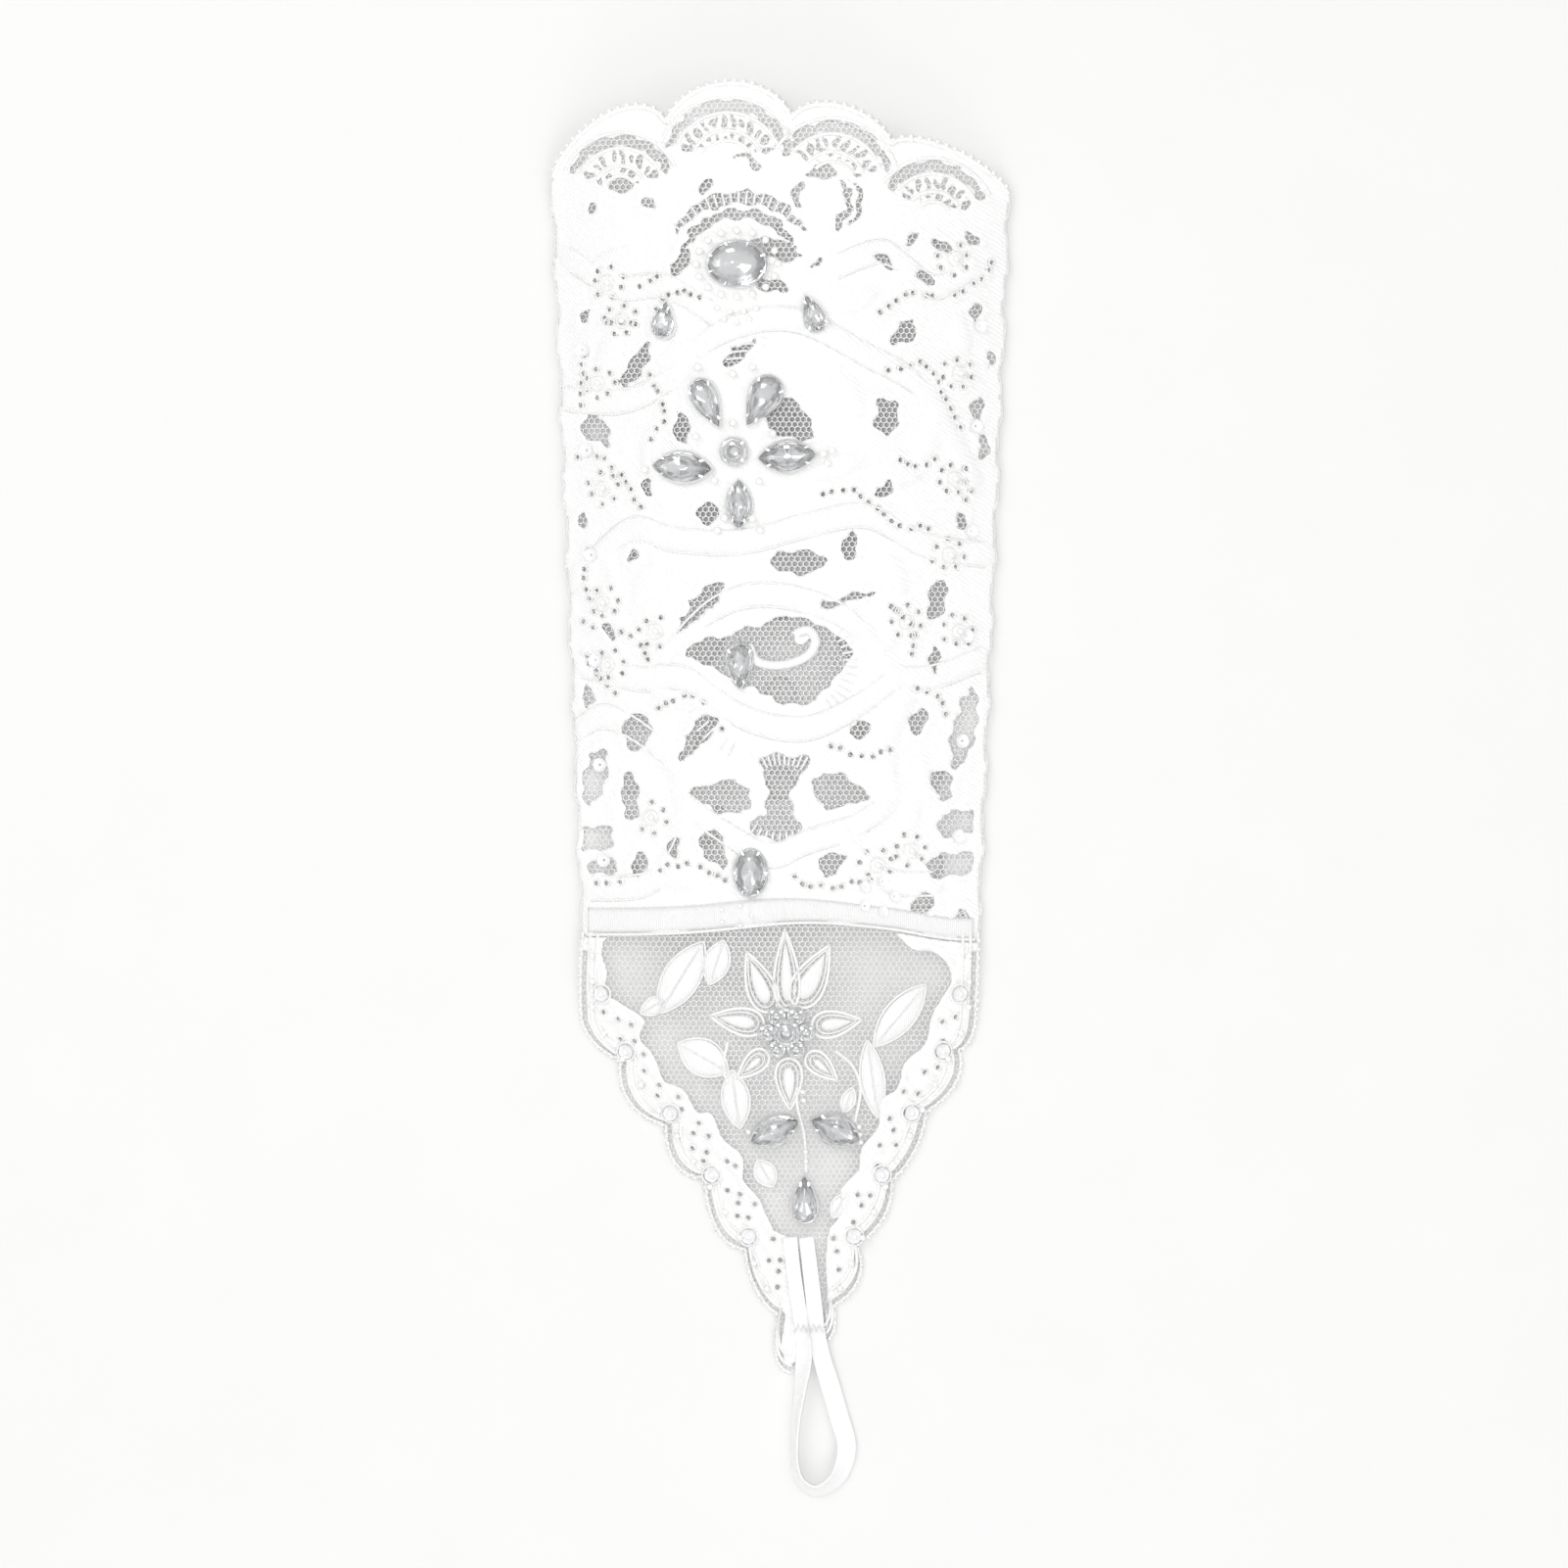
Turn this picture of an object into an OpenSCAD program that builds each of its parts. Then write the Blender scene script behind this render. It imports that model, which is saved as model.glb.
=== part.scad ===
// Fingerless bridal lace glove lying flat: a flattened lace sleeve with a scalloped elbow end,
// a pointed net panel over the back of the hand, and a ribbon loop for the middle finger.
// +X runs across the glove, +Y towards the elbow and +Z up. The glove rests on z = 0.

/* [Sleeve] */
// Flat width of the sleeve at the elbow end
elbow_w = 96; // [92:1:100]
// Flat width of the sleeve at the wrist
wrist_w = 83; // [80:1:86]
// How far the front lace arches off the table at the elbow
elbow_rise = 11.5; // [9:0.5:14]
// How far the front lace arches off the table at the wrist
wrist_rise = 6.8; // [6:0.1:7]
// Thickness of the embroidered lace
lace_t = 0.6; // [0.4:0.1:0.7]
// Thickness of the palm-side lace
palm_t = 0.7; // [0.5:0.1:0.8]

/* [Hand point] */
// Width of the scalloped trim down each side of the point
trim_w = 7; // [6:0.5:8]
// How far each trim scallop stands out
trim_bulge = 3; // [2:0.5:4]
// How far the tip of the point leans to one side as it lies
tip_lean = 5; // [3:0.5:5]

/* [Finger loop] */
// Width of the loop's ribbon where it lies flat
ribbon_w = 4; // [3:0.2:4.2]
// Depth of the loop's ribbon as it lies
ribbon_t = 1.2; // [1:0.1:1.4]

/* [Trimmings] */
// Diameter of a seed bead
bead_d = 1.8; // [1.4:0.1:2]
// Diameter of a cup sequin
sequin_d = 3; // [3:0.5:4.5]
// Height of a large faceted stone
stone_h = 2.6; // [2:0.1:3]

/* [Hidden] */
$fn = 24;

// Stations along the glove
elbow_y = 128;
border_y = 118;
wrist_y = -30;
shoulder_y = -47;
tip_y = -116;
tip_half = 4.6;
waist = 2;
// The two lace panels stop short of the wrist line, so that the point can fold both ways.
front_gap = 3.0;
hand_gap = 2.6;
palm_hem_y = -26;

// Elbow edge: the ends and valleys between the scallops, and how far each scallop stands up
valley = [[-1, 128.5], [-0.5, 139.5], [0.045, 140.3], [0.48, 135.5], [1, 125.5]];
crest = [8.5, 8.6, 5.8, 4.6];

// Outer and inner edges of the ribbon loop as it lies, from the tack round the finger and back
loop_top = -117.2;
loop_outer = [
    [3.6, loop_top], [3, -124], [2.6, -131], [2.1, -138.5], [3.4, -145.4], [7, -148],
    [11.6, -146.4], [14.8, -142], [15.6, -136.8], [14.4, -130], [12.2, -123], [10.4, loop_top]
];
loop_inner_left = [[7.2, -122.4], [5.6, -128], [4.2, -133], [3.9, -138.5], [4.6, -143.2]];
loop_foot = [[7.3, -145.4], [10.4, -144.2]];

// Stones as [x, y, length, width, turn, shape]
crown = [-9, 110.5, 12, 9, 0, "oval"];
drops = [[-24, 99, 7, 5, 80, "pear"], [6.6, 100.2, 7.5, 5, 112, "pear"]];
blossom = [
    [1.4, 70.4, 11.5, 6, 4, "marquise"], [-20.2, 68.2, 12, 6, 176, "marquise"],
    [-4, 81.8, 11, 7.4, 240, "pear"], [-15, 81.4, 10.5, 6, 297, "pear"],
    [-8.6, 60.4, 9.6, 4.6, 90, "marquise"]
];
blossom_mid = [-9.6, 71.4, 5, 5, 0, "oval"];
pendant = [-8.4, 26.6, 9, 6, 270, "pear"];
wrist_oval = [-6.2, -16.6, 9.4, 6.4, 90, "oval"];
leaf_pair = [[-1.2, -70.6, 10.4, 5.6, 205, "marquise"], [11.4, -70.4, 10.6, 5.8, -24, "marquise"]];
tip_drop = [5, -85, 9.6, 6, 90, "pear"];
flower = [1.2, -50];

// ---- Form of the lace ----

function smooth(t) = let (c = max(0, min(1, t))) c * c * (3 - 2 * c);
function mix(a, b, t) = a + (b - a) * t;
function taper(y) = max(0, (shoulder_y - y) / (shoulder_y - tip_y));

// Half the width of the lace at a station, and how far its middle has leaned over
function half_w(y) =
    y >= wrist_y ? mix(wrist_w, elbow_w, (y - wrist_y) / (elbow_y - wrist_y)) / 2
    : mix(wrist_w / 2, tip_half, taper(y)) - waist * sin(180 * taper(y));
function lean(y) = tip_lean * sin(90 * taper(y));

// Height of the underside of the upper lace: an arch over the palm lace, then down onto the table
function rise(y) =
    y >= wrist_y ? mix(wrist_rise, elbow_rise, smooth((y - wrist_y) / (elbow_y - wrist_y)))
    : wrist_rise * (1 - smooth((wrist_y - y) / (wrist_y - tip_y)));
function edge_z(y) = y >= wrist_y ? 1.2 : mix(1.2, 0, smooth((wrist_y - y) / 20));
function lace_z(x, y) =
    let (u = (x - lean(y)) / half_w(y))
    edge_z(y) + rise(y) * max(0, 1 - u * u);

// Slopes of the lace, for laying a flat piece on it
function slope_x(x, y) = atan(lace_z(x + 0.5, y) - lace_z(x - 0.5, y));
function slope_y(x, y) = atan(lace_z(x, y + 0.5) - lace_z(x, y - 0.5));

// The scalloped elbow edge at u, from -1 at the left fold to 1 at the right
function scallop_at(u, i = 0) =
    i < len(crest) - 1 && u > valley[i + 1].x ? scallop_at(u, i + 1)
    : let (t = max(0, min(1, (u - valley[i].x) / (valley[i + 1].x - valley[i].x))))
      mix(valley[i].y, valley[i + 1].y, t) + crest[i] * pow(max(0, 1 - pow(2 * t - 1, 2)), 0.6);

// ---- Builders ----

// A curved sheet: rows of [x, y] points, laid on the surface under(x, y)
module sheet(rows, thick, under) {
    n = len(rows);
    m = len(rows[0]);
    low = [for (r = rows) for (p = r) [p.x, p.y, under(p.x, p.y)]];
    high = [for (p = low) [p.x, p.y, p.z + thick]];
    function at(i, j) = i * m + j;
    function up(i, j) = n * m + i * m + j;
    polyhedron(
        points = concat(low, high),
        faces = concat(
            [for (i = [0 : n - 2]) for (j = [0 : m - 2]) for (f = [
                [up(i, j), up(i + 1, j), up(i + 1, j + 1)], [up(i, j), up(i + 1, j + 1), up(i, j + 1)],
                [at(i, j), at(i + 1, j + 1), at(i + 1, j)], [at(i, j), at(i, j + 1), at(i + 1, j + 1)]
            ]) f],
            [for (i = [0 : n - 2]) for (f = [
                [at(i, 0), at(i + 1, 0), up(i + 1, 0)], [at(i, 0), up(i + 1, 0), up(i, 0)],
                [at(i, m - 1), up(i + 1, m - 1), at(i + 1, m - 1)], [at(i, m - 1), up(i, m - 1), up(i + 1, m - 1)]
            ]) f],
            [for (j = [0 : m - 2]) for (f = [
                [at(0, j), up(0, j + 1), at(0, j + 1)], [at(0, j), up(0, j), up(0, j + 1)],
                [at(n - 1, j), at(n - 1, j + 1), up(n - 1, j + 1)], [at(n - 1, j), up(n - 1, j + 1), up(n - 1, j)]
            ]) f]
        )
    );
}

// A round cord of the given radius along points in space
module cord(path, r, sides = 6) {
    n = len(path);
    function unit(v) = v / norm(v);
    function ahead(i) = unit(path[min(n - 1, i + 1)] - path[max(0, i - 1)]);
    function beside(i) = unit(cross(ahead(i), [0, 0, 1]));
    function over(i) = cross(beside(i), ahead(i));
    rings = [for (i = [0 : n - 1]) for (k = [0 : sides - 1])
        path[i] + r * (cos(360 * k / sides) * beside(i) + sin(360 * k / sides) * over(i))];
    function at(i, k) = i * sides + (k + sides) % sides;
    polyhedron(
        points = rings,
        faces = concat(
            [[for (k = [0 : sides - 1]) at(0, k)]],
            [[for (k = [sides - 1 : -1 : 0]) at(n - 1, k)]],
            [for (i = [0 : n - 2]) for (k = [0 : sides - 1]) for (f = [
                [at(i, k), at(i + 1, k + 1), at(i, k + 1)], [at(i, k), at(i + 1, k), at(i + 1, k + 1)]
            ]) f]
        )
    );
}

// Sets a flat-backed piece on the upper lace, tilted to lie along it
module on_lace(x, y, lift = 0.1) {
    translate([x, y, lace_z(x, y) + lace_t + lift])
        rotate([slope_y(x, y), -slope_x(x, y), 0]) children();
}

// Outline of a cut stone, its point (if any) towards +X
function stone_outline(s, grow = 0, n = 16) =
    [for (k = [0 : n - 1]) let (a = 360 * k / n, l = s[2] / 2 + grow, w = s[3] / 2 + grow)
        [l * cos(a), w * sin(a) * (
            s[5] == "marquise" ? pow(abs(sin(a)), 0.8)
            : s[5] == "pear" ? 1.12 * pow(abs(sin(a / 2)), 1.1)
            : 1)]];

// A flat-backed faceted stone: a pavilion, a girdle and a table
module stone(s, h = stone_h, n = 16) {
    rim = stone_outline(s, 0, n);
    rings = [for (r = [[0.78, 0], [1, 0.4], [0.58, 1]]) for (p = rim) [p.x * r[0], p.y * r[0], h * r[1]]];
    function at(i, k) = i * n + (k + n) % n;
    polyhedron(
        points = rings,
        faces = concat(
            [[for (k = [0 : n - 1]) at(0, k)]],
            [[for (k = [n - 1 : -1 : 0]) at(2, k)]],
            [for (i = [0, 1]) for (k = [0 : n - 1]) for (f = [
                [at(i, k), at(i + 1, k), at(i + 1, k + 1)], [at(i, k), at(i + 1, k + 1), at(i, k + 1)]
            ]) f]
        )
    );
}

// The metal cup that a stone sits in, with its claws outside the girdle
cup_floor = 0.35;
cup_wall = 0.4;
cup_gap = 0.1;
module cup(s, wall_h = 1.2) {
    linear_extrude(cup_floor) polygon(stone_outline(s, cup_wall + cup_gap));
    linear_extrude(wall_h) difference() {
        polygon(stone_outline(s, cup_wall + cup_gap));
        polygon(stone_outline(s, cup_gap));
    }
}

// A stone in place, above its cup's floor, and the cup itself
module set_stone(s, h = stone_h) on_lace(s.x, s.y) rotate(s[4]) translate([0, 0, cup_floor + 0.05]) stone(s, h);
module set_cup(s) on_lace(s.x, s.y) rotate(s[4]) cup(s);

module bead(x, y, d = bead_d) on_lace(x, y, d / 2 + 0.05) sphere(d = d);
module sequin(x, y, d = sequin_d) on_lace(x, y) cylinder(d = d, h = 0.4);

// ---- Sleeve ----

across = [for (k = [0 : 24]) k / 12 - 1];
front_rows = [wrist_y + front_gap, -14, 0, 15, 30, 45, 60, 75, 90, 105, border_y];

module front_lace_panel() color("white")
    sheet([for (y = front_rows) [for (u = across) [u * half_w(y), y]]], lace_t, function(x, y) lace_z(x, y));

module elbow_scallops_front() color("white")
    sheet(
        [for (t = [0, 0.35, 0.7, 1]) [for (k = [0 : 48]) let (u = k / 24 - 1)
            [u * mix(half_w(border_y), elbow_w / 2, t), mix(border_y, scallop_at(u), t)]]],
        lace_t, function(x, y) lace_z(x, min(y, elbow_y)));

// The palm side lies flat on the table, a little narrower than the folds
palm_inset = 0.6;
function palm_half(y) = half_w(y) - palm_inset;

module palm_lace_panel() color("white") linear_extrude(palm_t)
    polygon([
        [-palm_half(palm_hem_y), palm_hem_y], [palm_half(palm_hem_y), palm_hem_y],
        [palm_half(border_y), border_y], [-palm_half(border_y), border_y]
    ]);

palm_drop = 3;
palm_peek = 1;
function palm_edge(u) = min(scallop_at(-u), scallop_at(u) + palm_peek) - palm_drop;
module elbow_scallops_palm() color("white") linear_extrude(palm_t)
    polygon(concat(
        [[-palm_half(border_y), border_y], [palm_half(border_y), border_y]],
        [for (k = [48 : -1 : 0]) let (u = k / 24 - 1) [u * palm_half(elbow_y), palm_edge(u)]]
    ));

cord_r = 0.7;
module scallop_cord_front() color("white")
    cord([for (k = [0 : 64]) let (u = k / 32 - 1, x = u * elbow_w / 2)
        [x, scallop_at(u) + 0.1, lace_z(x, elbow_y) + lace_t / 2 + 0.1]], cord_r);

module scallop_cord_palm() color("white")
    cord([for (k = [0 : 64]) let (u = k / 32 - 1) [u * palm_half(elbow_y), palm_edge(u) + 0.1, cord_r]], cord_r);

module side_seam(side) color("white")
    cord([for (k = [0 : 10]) let (y = mix(wrist_y + front_gap, 125, k / 10))
        [side * (half_w(y) - 0.2), y, 1.1]], 0.8);

module palm_wrist_hem() color("white")
    translate([-palm_half(palm_hem_y), palm_hem_y - 0.2, 0]) cube([2 * palm_half(palm_hem_y), 3, 1.1]);

// A stitched satin band over the front lace, just above the wrist
band_low = wrist_y + front_gap + 0.2;
band_high = -22.6;
module wrist_band() color("white")
    sheet([for (y = [band_low, (band_low + band_high) / 2, band_high])
        [for (u = across) [u * (half_w(y) - 1), y - 1.2 * sin(120 * u) + (y < band_high ? 1.2 : 0)]]],
        0.5, function(x, y) lace_z(x, y) + lace_t + 0.15);

// ---- Stones, beads and sequins on the sleeve ----

module crown_stone() color("gainsboro") set_stone(crown, 3.2);
module crown_setting() color("silver") set_cup(crown);
module crown_beads() color("white")
    for (k = [0 : 15]) bead(crown.x + 8.4 * cos(22.5 * k), crown.y + 6.9 * sin(22.5 * k));

module drop_stones() color("gainsboro") for (s = drops) set_stone(s, 2.2);
module drop_settings() color("silver") for (s = drops) set_cup(s);

module blossom_stones() color("gainsboro") for (s = blossom) set_stone(s);
module blossom_settings() color("silver") {
    for (s = blossom) set_cup(s);
    set_cup(blossom_mid);
}
module blossom_centre_stone() color("gainsboro") set_stone(blossom_mid, 3);
module blossom_beads() color("white")
    for (p = [[-1.6, 75.2], [-9.8, 77.4], [-17.4, 74.6], [-13.6, 65.4], [-4.4, 65.2], [-9.8, 87.6], [-13, 55], [-4.2, 55]])
        bead(p.x, p.y);

module pendant_stone() color("gainsboro") set_stone(pendant);
module pendant_setting() color("silver") set_cup(pendant);
module wrist_stone() color("gainsboro") set_stone(wrist_oval, 3);
module wrist_setting() color("silver") set_cup(wrist_oval);

sequin_ys = [-14, 6, 28, 50, 72, 93];
module sleeve_sequins_left() color("white") for (y = sequin_ys) sequin(5.4 - half_w(y), y);
module sleeve_sequins_right() color("white") for (y = sequin_ys) sequin(half_w(y) - 5.4, y + 5);

// ---- Hand point ----

point_top = wrist_y - hand_gap;
point_rows = [for (k = [0 : 12]) mix(point_top, tip_y, k / 12)];
module hand_point_panel() color("white")
    sheet([for (k = [12 : -1 : 0]) let (y = point_rows[k])
        [for (j = [0 : 16]) [lean(y) + (j / 8 - 1) * (half_w(y) - 0.4), y]]],
        lace_t, function(x, y) lace_z(x, y));

// Scalloped galloon down one side of the point. Each scallop runs down and then turns in sharply.
left_valleys = [shoulder_y, -56, -69.8, -81, -96, -110, tip_y];
right_valleys = [shoulder_y, -54, -67, -81.5, -95, -108, tip_y];
trim_steps = 6;
trim_raise = 0.15;
trim_t = 0.7;
skew = 1.8;
function trim_out(t) = trim_bulge * pow(max(0, sin(180 * pow(t, skew))), 0.8);
function trim_in(y) = min(trim_w, half_w(y) - 1.2);
module point_trim(side, valleys) color("white") {
    last = len(valleys) - 2;
    stations = concat([[point_top - 0.4, 0]],
        [for (i = [0 : last]) for (k = [0 : trim_steps - 1]) let (t = k / trim_steps)
            [mix(valleys[i], valleys[i + 1], t), trim_out(t)]],
        [[tip_y, 0]]);
    sheet([for (i = [len(stations) - 1 : -1 : 0]) let (
            y = stations[i].x,
            inner = lean(y) + side * (half_w(y) - trim_in(y)),
            outer = lean(y) + side * (half_w(y) + stations[i].y))
        side > 0 ? [for (t = [0, 0.6, 1]) [mix(inner, outer, t), y]]
        : [for (t = [1, 0.6, 0]) [mix(inner, outer, t), y]]],
        trim_t, function(x, y) lace_z(x, y) + lace_t + trim_raise);
}

module on_trim(side, y, inset) let (x = lean(y) + side * (half_w(y) - inset))
    on_lace(x, y, trim_raise + trim_t + 0.15) children();
point_sequin_ys = [-42, -54, -67, -80, -93];
sequin_inset = 4.2;
bead_inset = 0.6;
module point_sequins() color("white")
    for (y = point_sequin_ys) for (side = [-1, 1]) on_trim(side, y, sequin_inset) cylinder(d = sequin_d, h = 0.4);
module point_beads() color("white")
    for (k = [0 : 9]) for (side = [-1, 1])
        on_trim(side, mix(-35.4, -97.4, k / 9), bead_inset) translate([0, 0, bead_d / 2]) sphere(d = bead_d);

// Embroidered petals round the flower's stones, and satin-stitched leaves
petal_r = 9.6;
module petal(turn, reach, l, w)
    let (x = flower.x + reach * cos(turn), y = flower.y + reach * sin(turn))
        on_lace(x, y, 0.25) rotate(turn)
            linear_extrude(0.5) polygon(stone_outline([0, 0, l, w, 0, "pear"], 0, 20) * [[-1, 0], [0, 1]]);
module hand_flower_petals() color("white")
    for (k = [0 : 5]) petal(30 + 60 * k, petal_r, 10, k % 3 == 1 ? 7.6 : 7);

module hand_flower_stones() color("gainsboro") {
    on_lace(flower.x, flower.y, 0.3) cylinder(d1 = 4.8, d2 = 3, h = 2.2);
    for (k = [0 : 5]) let (a = 60 * k)
        on_lace(flower.x + 3.9 * cos(a), flower.y + 3.9 * sin(a), 0.3) cylinder(d1 = 2.4, d2 = 1.5, h = 1.4);
}

leaves = [
    [-22, -39, 15, 7, 62], [-12.5, -36.6, 9, 5.4, 118], [-16.4, -56, 11.5, 6.6, 158],
    [-9.4, -64.6, 11, 5, 96], [24, -46.5, 15.5, 6, 47], [18.6, -60.6, 15, 5, 100]
];
module hand_leaves() color("white")
    for (l = leaves) on_lace(l.x, l.y, 0.3) rotate(l[4])
        linear_extrude(0.5) polygon(stone_outline([0, 0, l[2], l[3], 0, "marquise"], 0, 20));

module leaf_stones() color("gainsboro") for (s = leaf_pair) set_stone(s);
module leaf_settings() color("silver") for (s = leaf_pair) set_cup(s);
module tip_stone() color("gainsboro") set_stone(tip_drop, 2.4);
module tip_setting() color("silver") set_cup(tip_drop);

// ---- Finger loop ----

// Both ends of the ribbon lie doubled on the point, under a bar of tacking stitches.
tail_top = -93;
tail_low = tip_y + 0.2;
tail_raise = trim_raise + trim_t + 0.15;
module loop_tail() color("white")
    sheet([for (k = [6 : -1 : 0]) let (y = mix(tail_top, tail_low, k / 6))
        [for (j = [-1, 0, 1]) [mix(4, 6.6, k / 6) + j * mix(2.9, 2.6, k / 6), y]]],
        0.7, function(x, y) lace_z(x, y) + lace_t + tail_raise);

module loop_tack() color("white")
    on_lace(6.4, -112.6, tail_raise + 0.85) translate([-3, -0.7, 0]) cube([6, 1.4, 0.5]);

// Points along a smooth curve through the path's own points
function curve_at(p, i, t) =
    let (a = p[max(0, i - 1)], b = p[i], c = p[i + 1], d = p[min(len(p) - 1, i + 2)])
    0.5 * (2 * b + (c - a) * t + (2 * a - 5 * b + 4 * c - d) * t * t + (3 * b - a - 3 * c + d) * t * t * t);
function curve(p, steps) = concat(
    [for (i = [0 : len(p) - 2]) for (k = [0 : steps - 1]) curve_at(p, i, k / steps)],
    [p[len(p) - 1]]);

// The finger's gap: its right-hand side lies one ribbon width inside the outer edge
loop_inner = concat(
    loop_inner_left, loop_foot,
    [for (k = [7 : 10]) loop_outer[k] - [ribbon_w * (k == 7 ? 0.55 : k == 8 ? 0.75 : k == 9 ? 0.95 : 0.98), 0]],
    [loop_inner_left[0]]);
module finger_loop() color("white") linear_extrude(ribbon_t) difference() {
    polygon(curve(loop_outer, 3));
    polygon(curve(loop_inner, 3));
}

front_lace_panel();
palm_lace_panel();
elbow_scallops_front();
elbow_scallops_palm();
scallop_cord_front();
scallop_cord_palm();
side_seam(-1);  // side_seam_left
side_seam(1);  // side_seam_right
palm_wrist_hem();
wrist_band();
crown_stone();
crown_setting();
crown_beads();
drop_stones();
drop_settings();
blossom_stones();
blossom_settings();
blossom_centre_stone();
blossom_beads();
pendant_stone();
pendant_setting();
wrist_stone();
wrist_setting();
sleeve_sequins_left();
sleeve_sequins_right();
hand_point_panel();
point_trim(-1, left_valleys);  // point_trim_left
point_trim(1, right_valleys);  // point_trim_right
point_sequins();
point_beads();
hand_flower_petals();
hand_flower_stones();
hand_leaves();
leaf_stones();
leaf_settings();
tip_stone();
tip_setting();
loop_tail();
loop_tack();
finger_loop();
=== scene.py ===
import logging
import math
from dataclasses import dataclass, field, replace
from enum import Enum
from typing import Callable, Iterable, Sequence

import bpy
import numpy as np
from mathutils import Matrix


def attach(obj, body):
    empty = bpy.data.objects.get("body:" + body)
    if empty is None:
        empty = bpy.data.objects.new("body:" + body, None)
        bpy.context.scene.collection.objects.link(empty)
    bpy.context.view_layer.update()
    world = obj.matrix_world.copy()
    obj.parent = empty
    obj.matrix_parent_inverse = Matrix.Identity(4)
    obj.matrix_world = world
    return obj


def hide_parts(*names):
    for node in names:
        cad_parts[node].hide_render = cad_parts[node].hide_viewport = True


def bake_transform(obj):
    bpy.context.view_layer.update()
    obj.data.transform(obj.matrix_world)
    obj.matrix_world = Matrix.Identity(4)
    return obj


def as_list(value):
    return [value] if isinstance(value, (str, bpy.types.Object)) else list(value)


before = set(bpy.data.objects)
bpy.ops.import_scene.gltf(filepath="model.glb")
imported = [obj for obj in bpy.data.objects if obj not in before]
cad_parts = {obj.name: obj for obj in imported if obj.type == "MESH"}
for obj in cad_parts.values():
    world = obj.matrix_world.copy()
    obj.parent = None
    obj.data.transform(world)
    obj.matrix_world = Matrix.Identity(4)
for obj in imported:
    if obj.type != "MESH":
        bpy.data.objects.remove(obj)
log = logging.getLogger("glove")

MM = 0.001  # everything below is worked out in millimetres and made in metres
Point = tuple[float, float]
Grid = np.ndarray
Solid = tuple[Grid, list[list[int]]]  # points and faces
BAND_PERIOD = 0.314  # a band wave of scale 1 repeats this often


# ---------------------------------------------------------------- colours and materials


def linear(hex_colour: str) -> tuple[float, float, float, float]:
    """Turn an sRGB colour into the linear values that shaders take.

    Args:
        hex_colour: Six hexadecimal digits, with or without a leading #.

    Returns:
        Red, green, blue and an alpha of 1.
    """
    digits = hex_colour.lstrip("#")
    parts = [int(digits[i : i + 2], 16) / 255 for i in (0, 2, 4)]
    return (*[c / 12.92 if c <= 0.04045 else ((c + 0.055) / 1.055) ** 2.4 for c in parts], 1.0)


class Shader:
    """A material's node tree, built one node at a time."""

    def __init__(self, name: str) -> None:
        """Start an empty material.

        Args:
            name: The material's name.
        """
        self.material = bpy.data.materials.new(name)
        self.material.use_nodes = True
        self.tree = self.material.node_tree
        self.surface = self.tree.nodes["Principled BSDF"]

    def add(self, kind: str, settings: dict | None = None, **inputs: object) -> bpy.types.Node:
        """Add one node.

        Args:
            kind: The node's type.
            settings: Properties of the node itself.
            **inputs: Socket values, or sockets to link; an underscore in a name stands for a space.

        Returns:
            The new node.
        """
        node = self.tree.nodes.new(kind)
        for key, value in (settings or {}).items():
            setattr(node, key, value)
        self.fill(node, **inputs)
        return node

    def fill(self, node: bpy.types.Node, **inputs: object) -> None:
        """Set or link a node's sockets.

        Args:
            node: The node.
            **inputs: Values or output sockets, by socket name.
        """
        for key, value in inputs.items():
            socket = node.inputs[key.replace("_", " ")]
            if isinstance(value, bpy.types.NodeSocket):
                self.tree.links.new(value, socket)
            else:
                socket.default_value = value

    def ramp(self, factor: bpy.types.NodeSocket, low: str, high: str) -> bpy.types.NodeSocket:
        """Colour that runs from low to high with a factor.

        Args:
            factor: The socket that drives it.
            low: sRGB colour at 0.
            high: sRGB colour at 1.

        Returns:
            The colour socket.
        """
        node = self.add("ShaderNodeValToRGB", Fac=factor)
        node.color_ramp.elements[0].color = linear(low)
        node.color_ramp.elements[1].color = linear(high)
        return node.outputs["Color"]


@dataclass(frozen=True)
class ThreadFinish:
    """A thread-covered surface: cloth, cord, satin stitch or ribbon."""

    name: str
    slot: str
    shade: str
    light: str
    roughness: float
    sheen: float
    pitch: float  # mm between threads; drawn about twice as coarse as real so that it can be seen
    relief: float  # mm of bump
    glow: float  # how much light passes into the thread layer
    direction: str = "DIAGONAL"

    def build(self) -> bpy.types.Material:
        """Make the material.

        Returns:
            A Principled material with twisted-thread bump and a mottled white.
        """
        s = Shader(self.name)
        place = s.add("ShaderNodeTexCoord").outputs["Object"]
        mottle = s.add("ShaderNodeTexNoise", Vector=place, Scale=160.0, Detail=3.0)
        threads = s.add(
            "ShaderNodeTexWave",
            {"wave_type": "BANDS", "bands_direction": self.direction},
            Vector=place,
            Scale=BAND_PERIOD / (self.pitch * MM),
            Distortion=2.5,
            Detail=2.0,
            Detail_Scale=1.5,
        )
        fuzz = s.add("ShaderNodeTexNoise", Vector=place, Scale=2600.0, Detail=2.0)
        soft = s.add("ShaderNodeBump", Strength=0.35, Distance=0.12 * MM, Height=fuzz.outputs["Fac"])
        bump = s.add(
            "ShaderNodeBump",
            Strength=0.8,
            Distance=self.relief * MM,
            Height=threads.outputs["Fac"],
            Normal=soft.outputs["Normal"],
        )
        s.fill(
            s.surface,
            Base_Color=s.ramp(mottle.outputs["Fac"], self.shade, self.light),
            Roughness=self.roughness,
            Sheen_Weight=self.sheen,
            Sheen_Roughness=0.4,
            Subsurface_Weight=self.glow,
            Subsurface_Scale=1.6 * MM,
            Subsurface_Radius=(1.0, 1.0, 1.0),
            Normal=bump.outputs["Normal"],
        )
        return s.material


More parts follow.
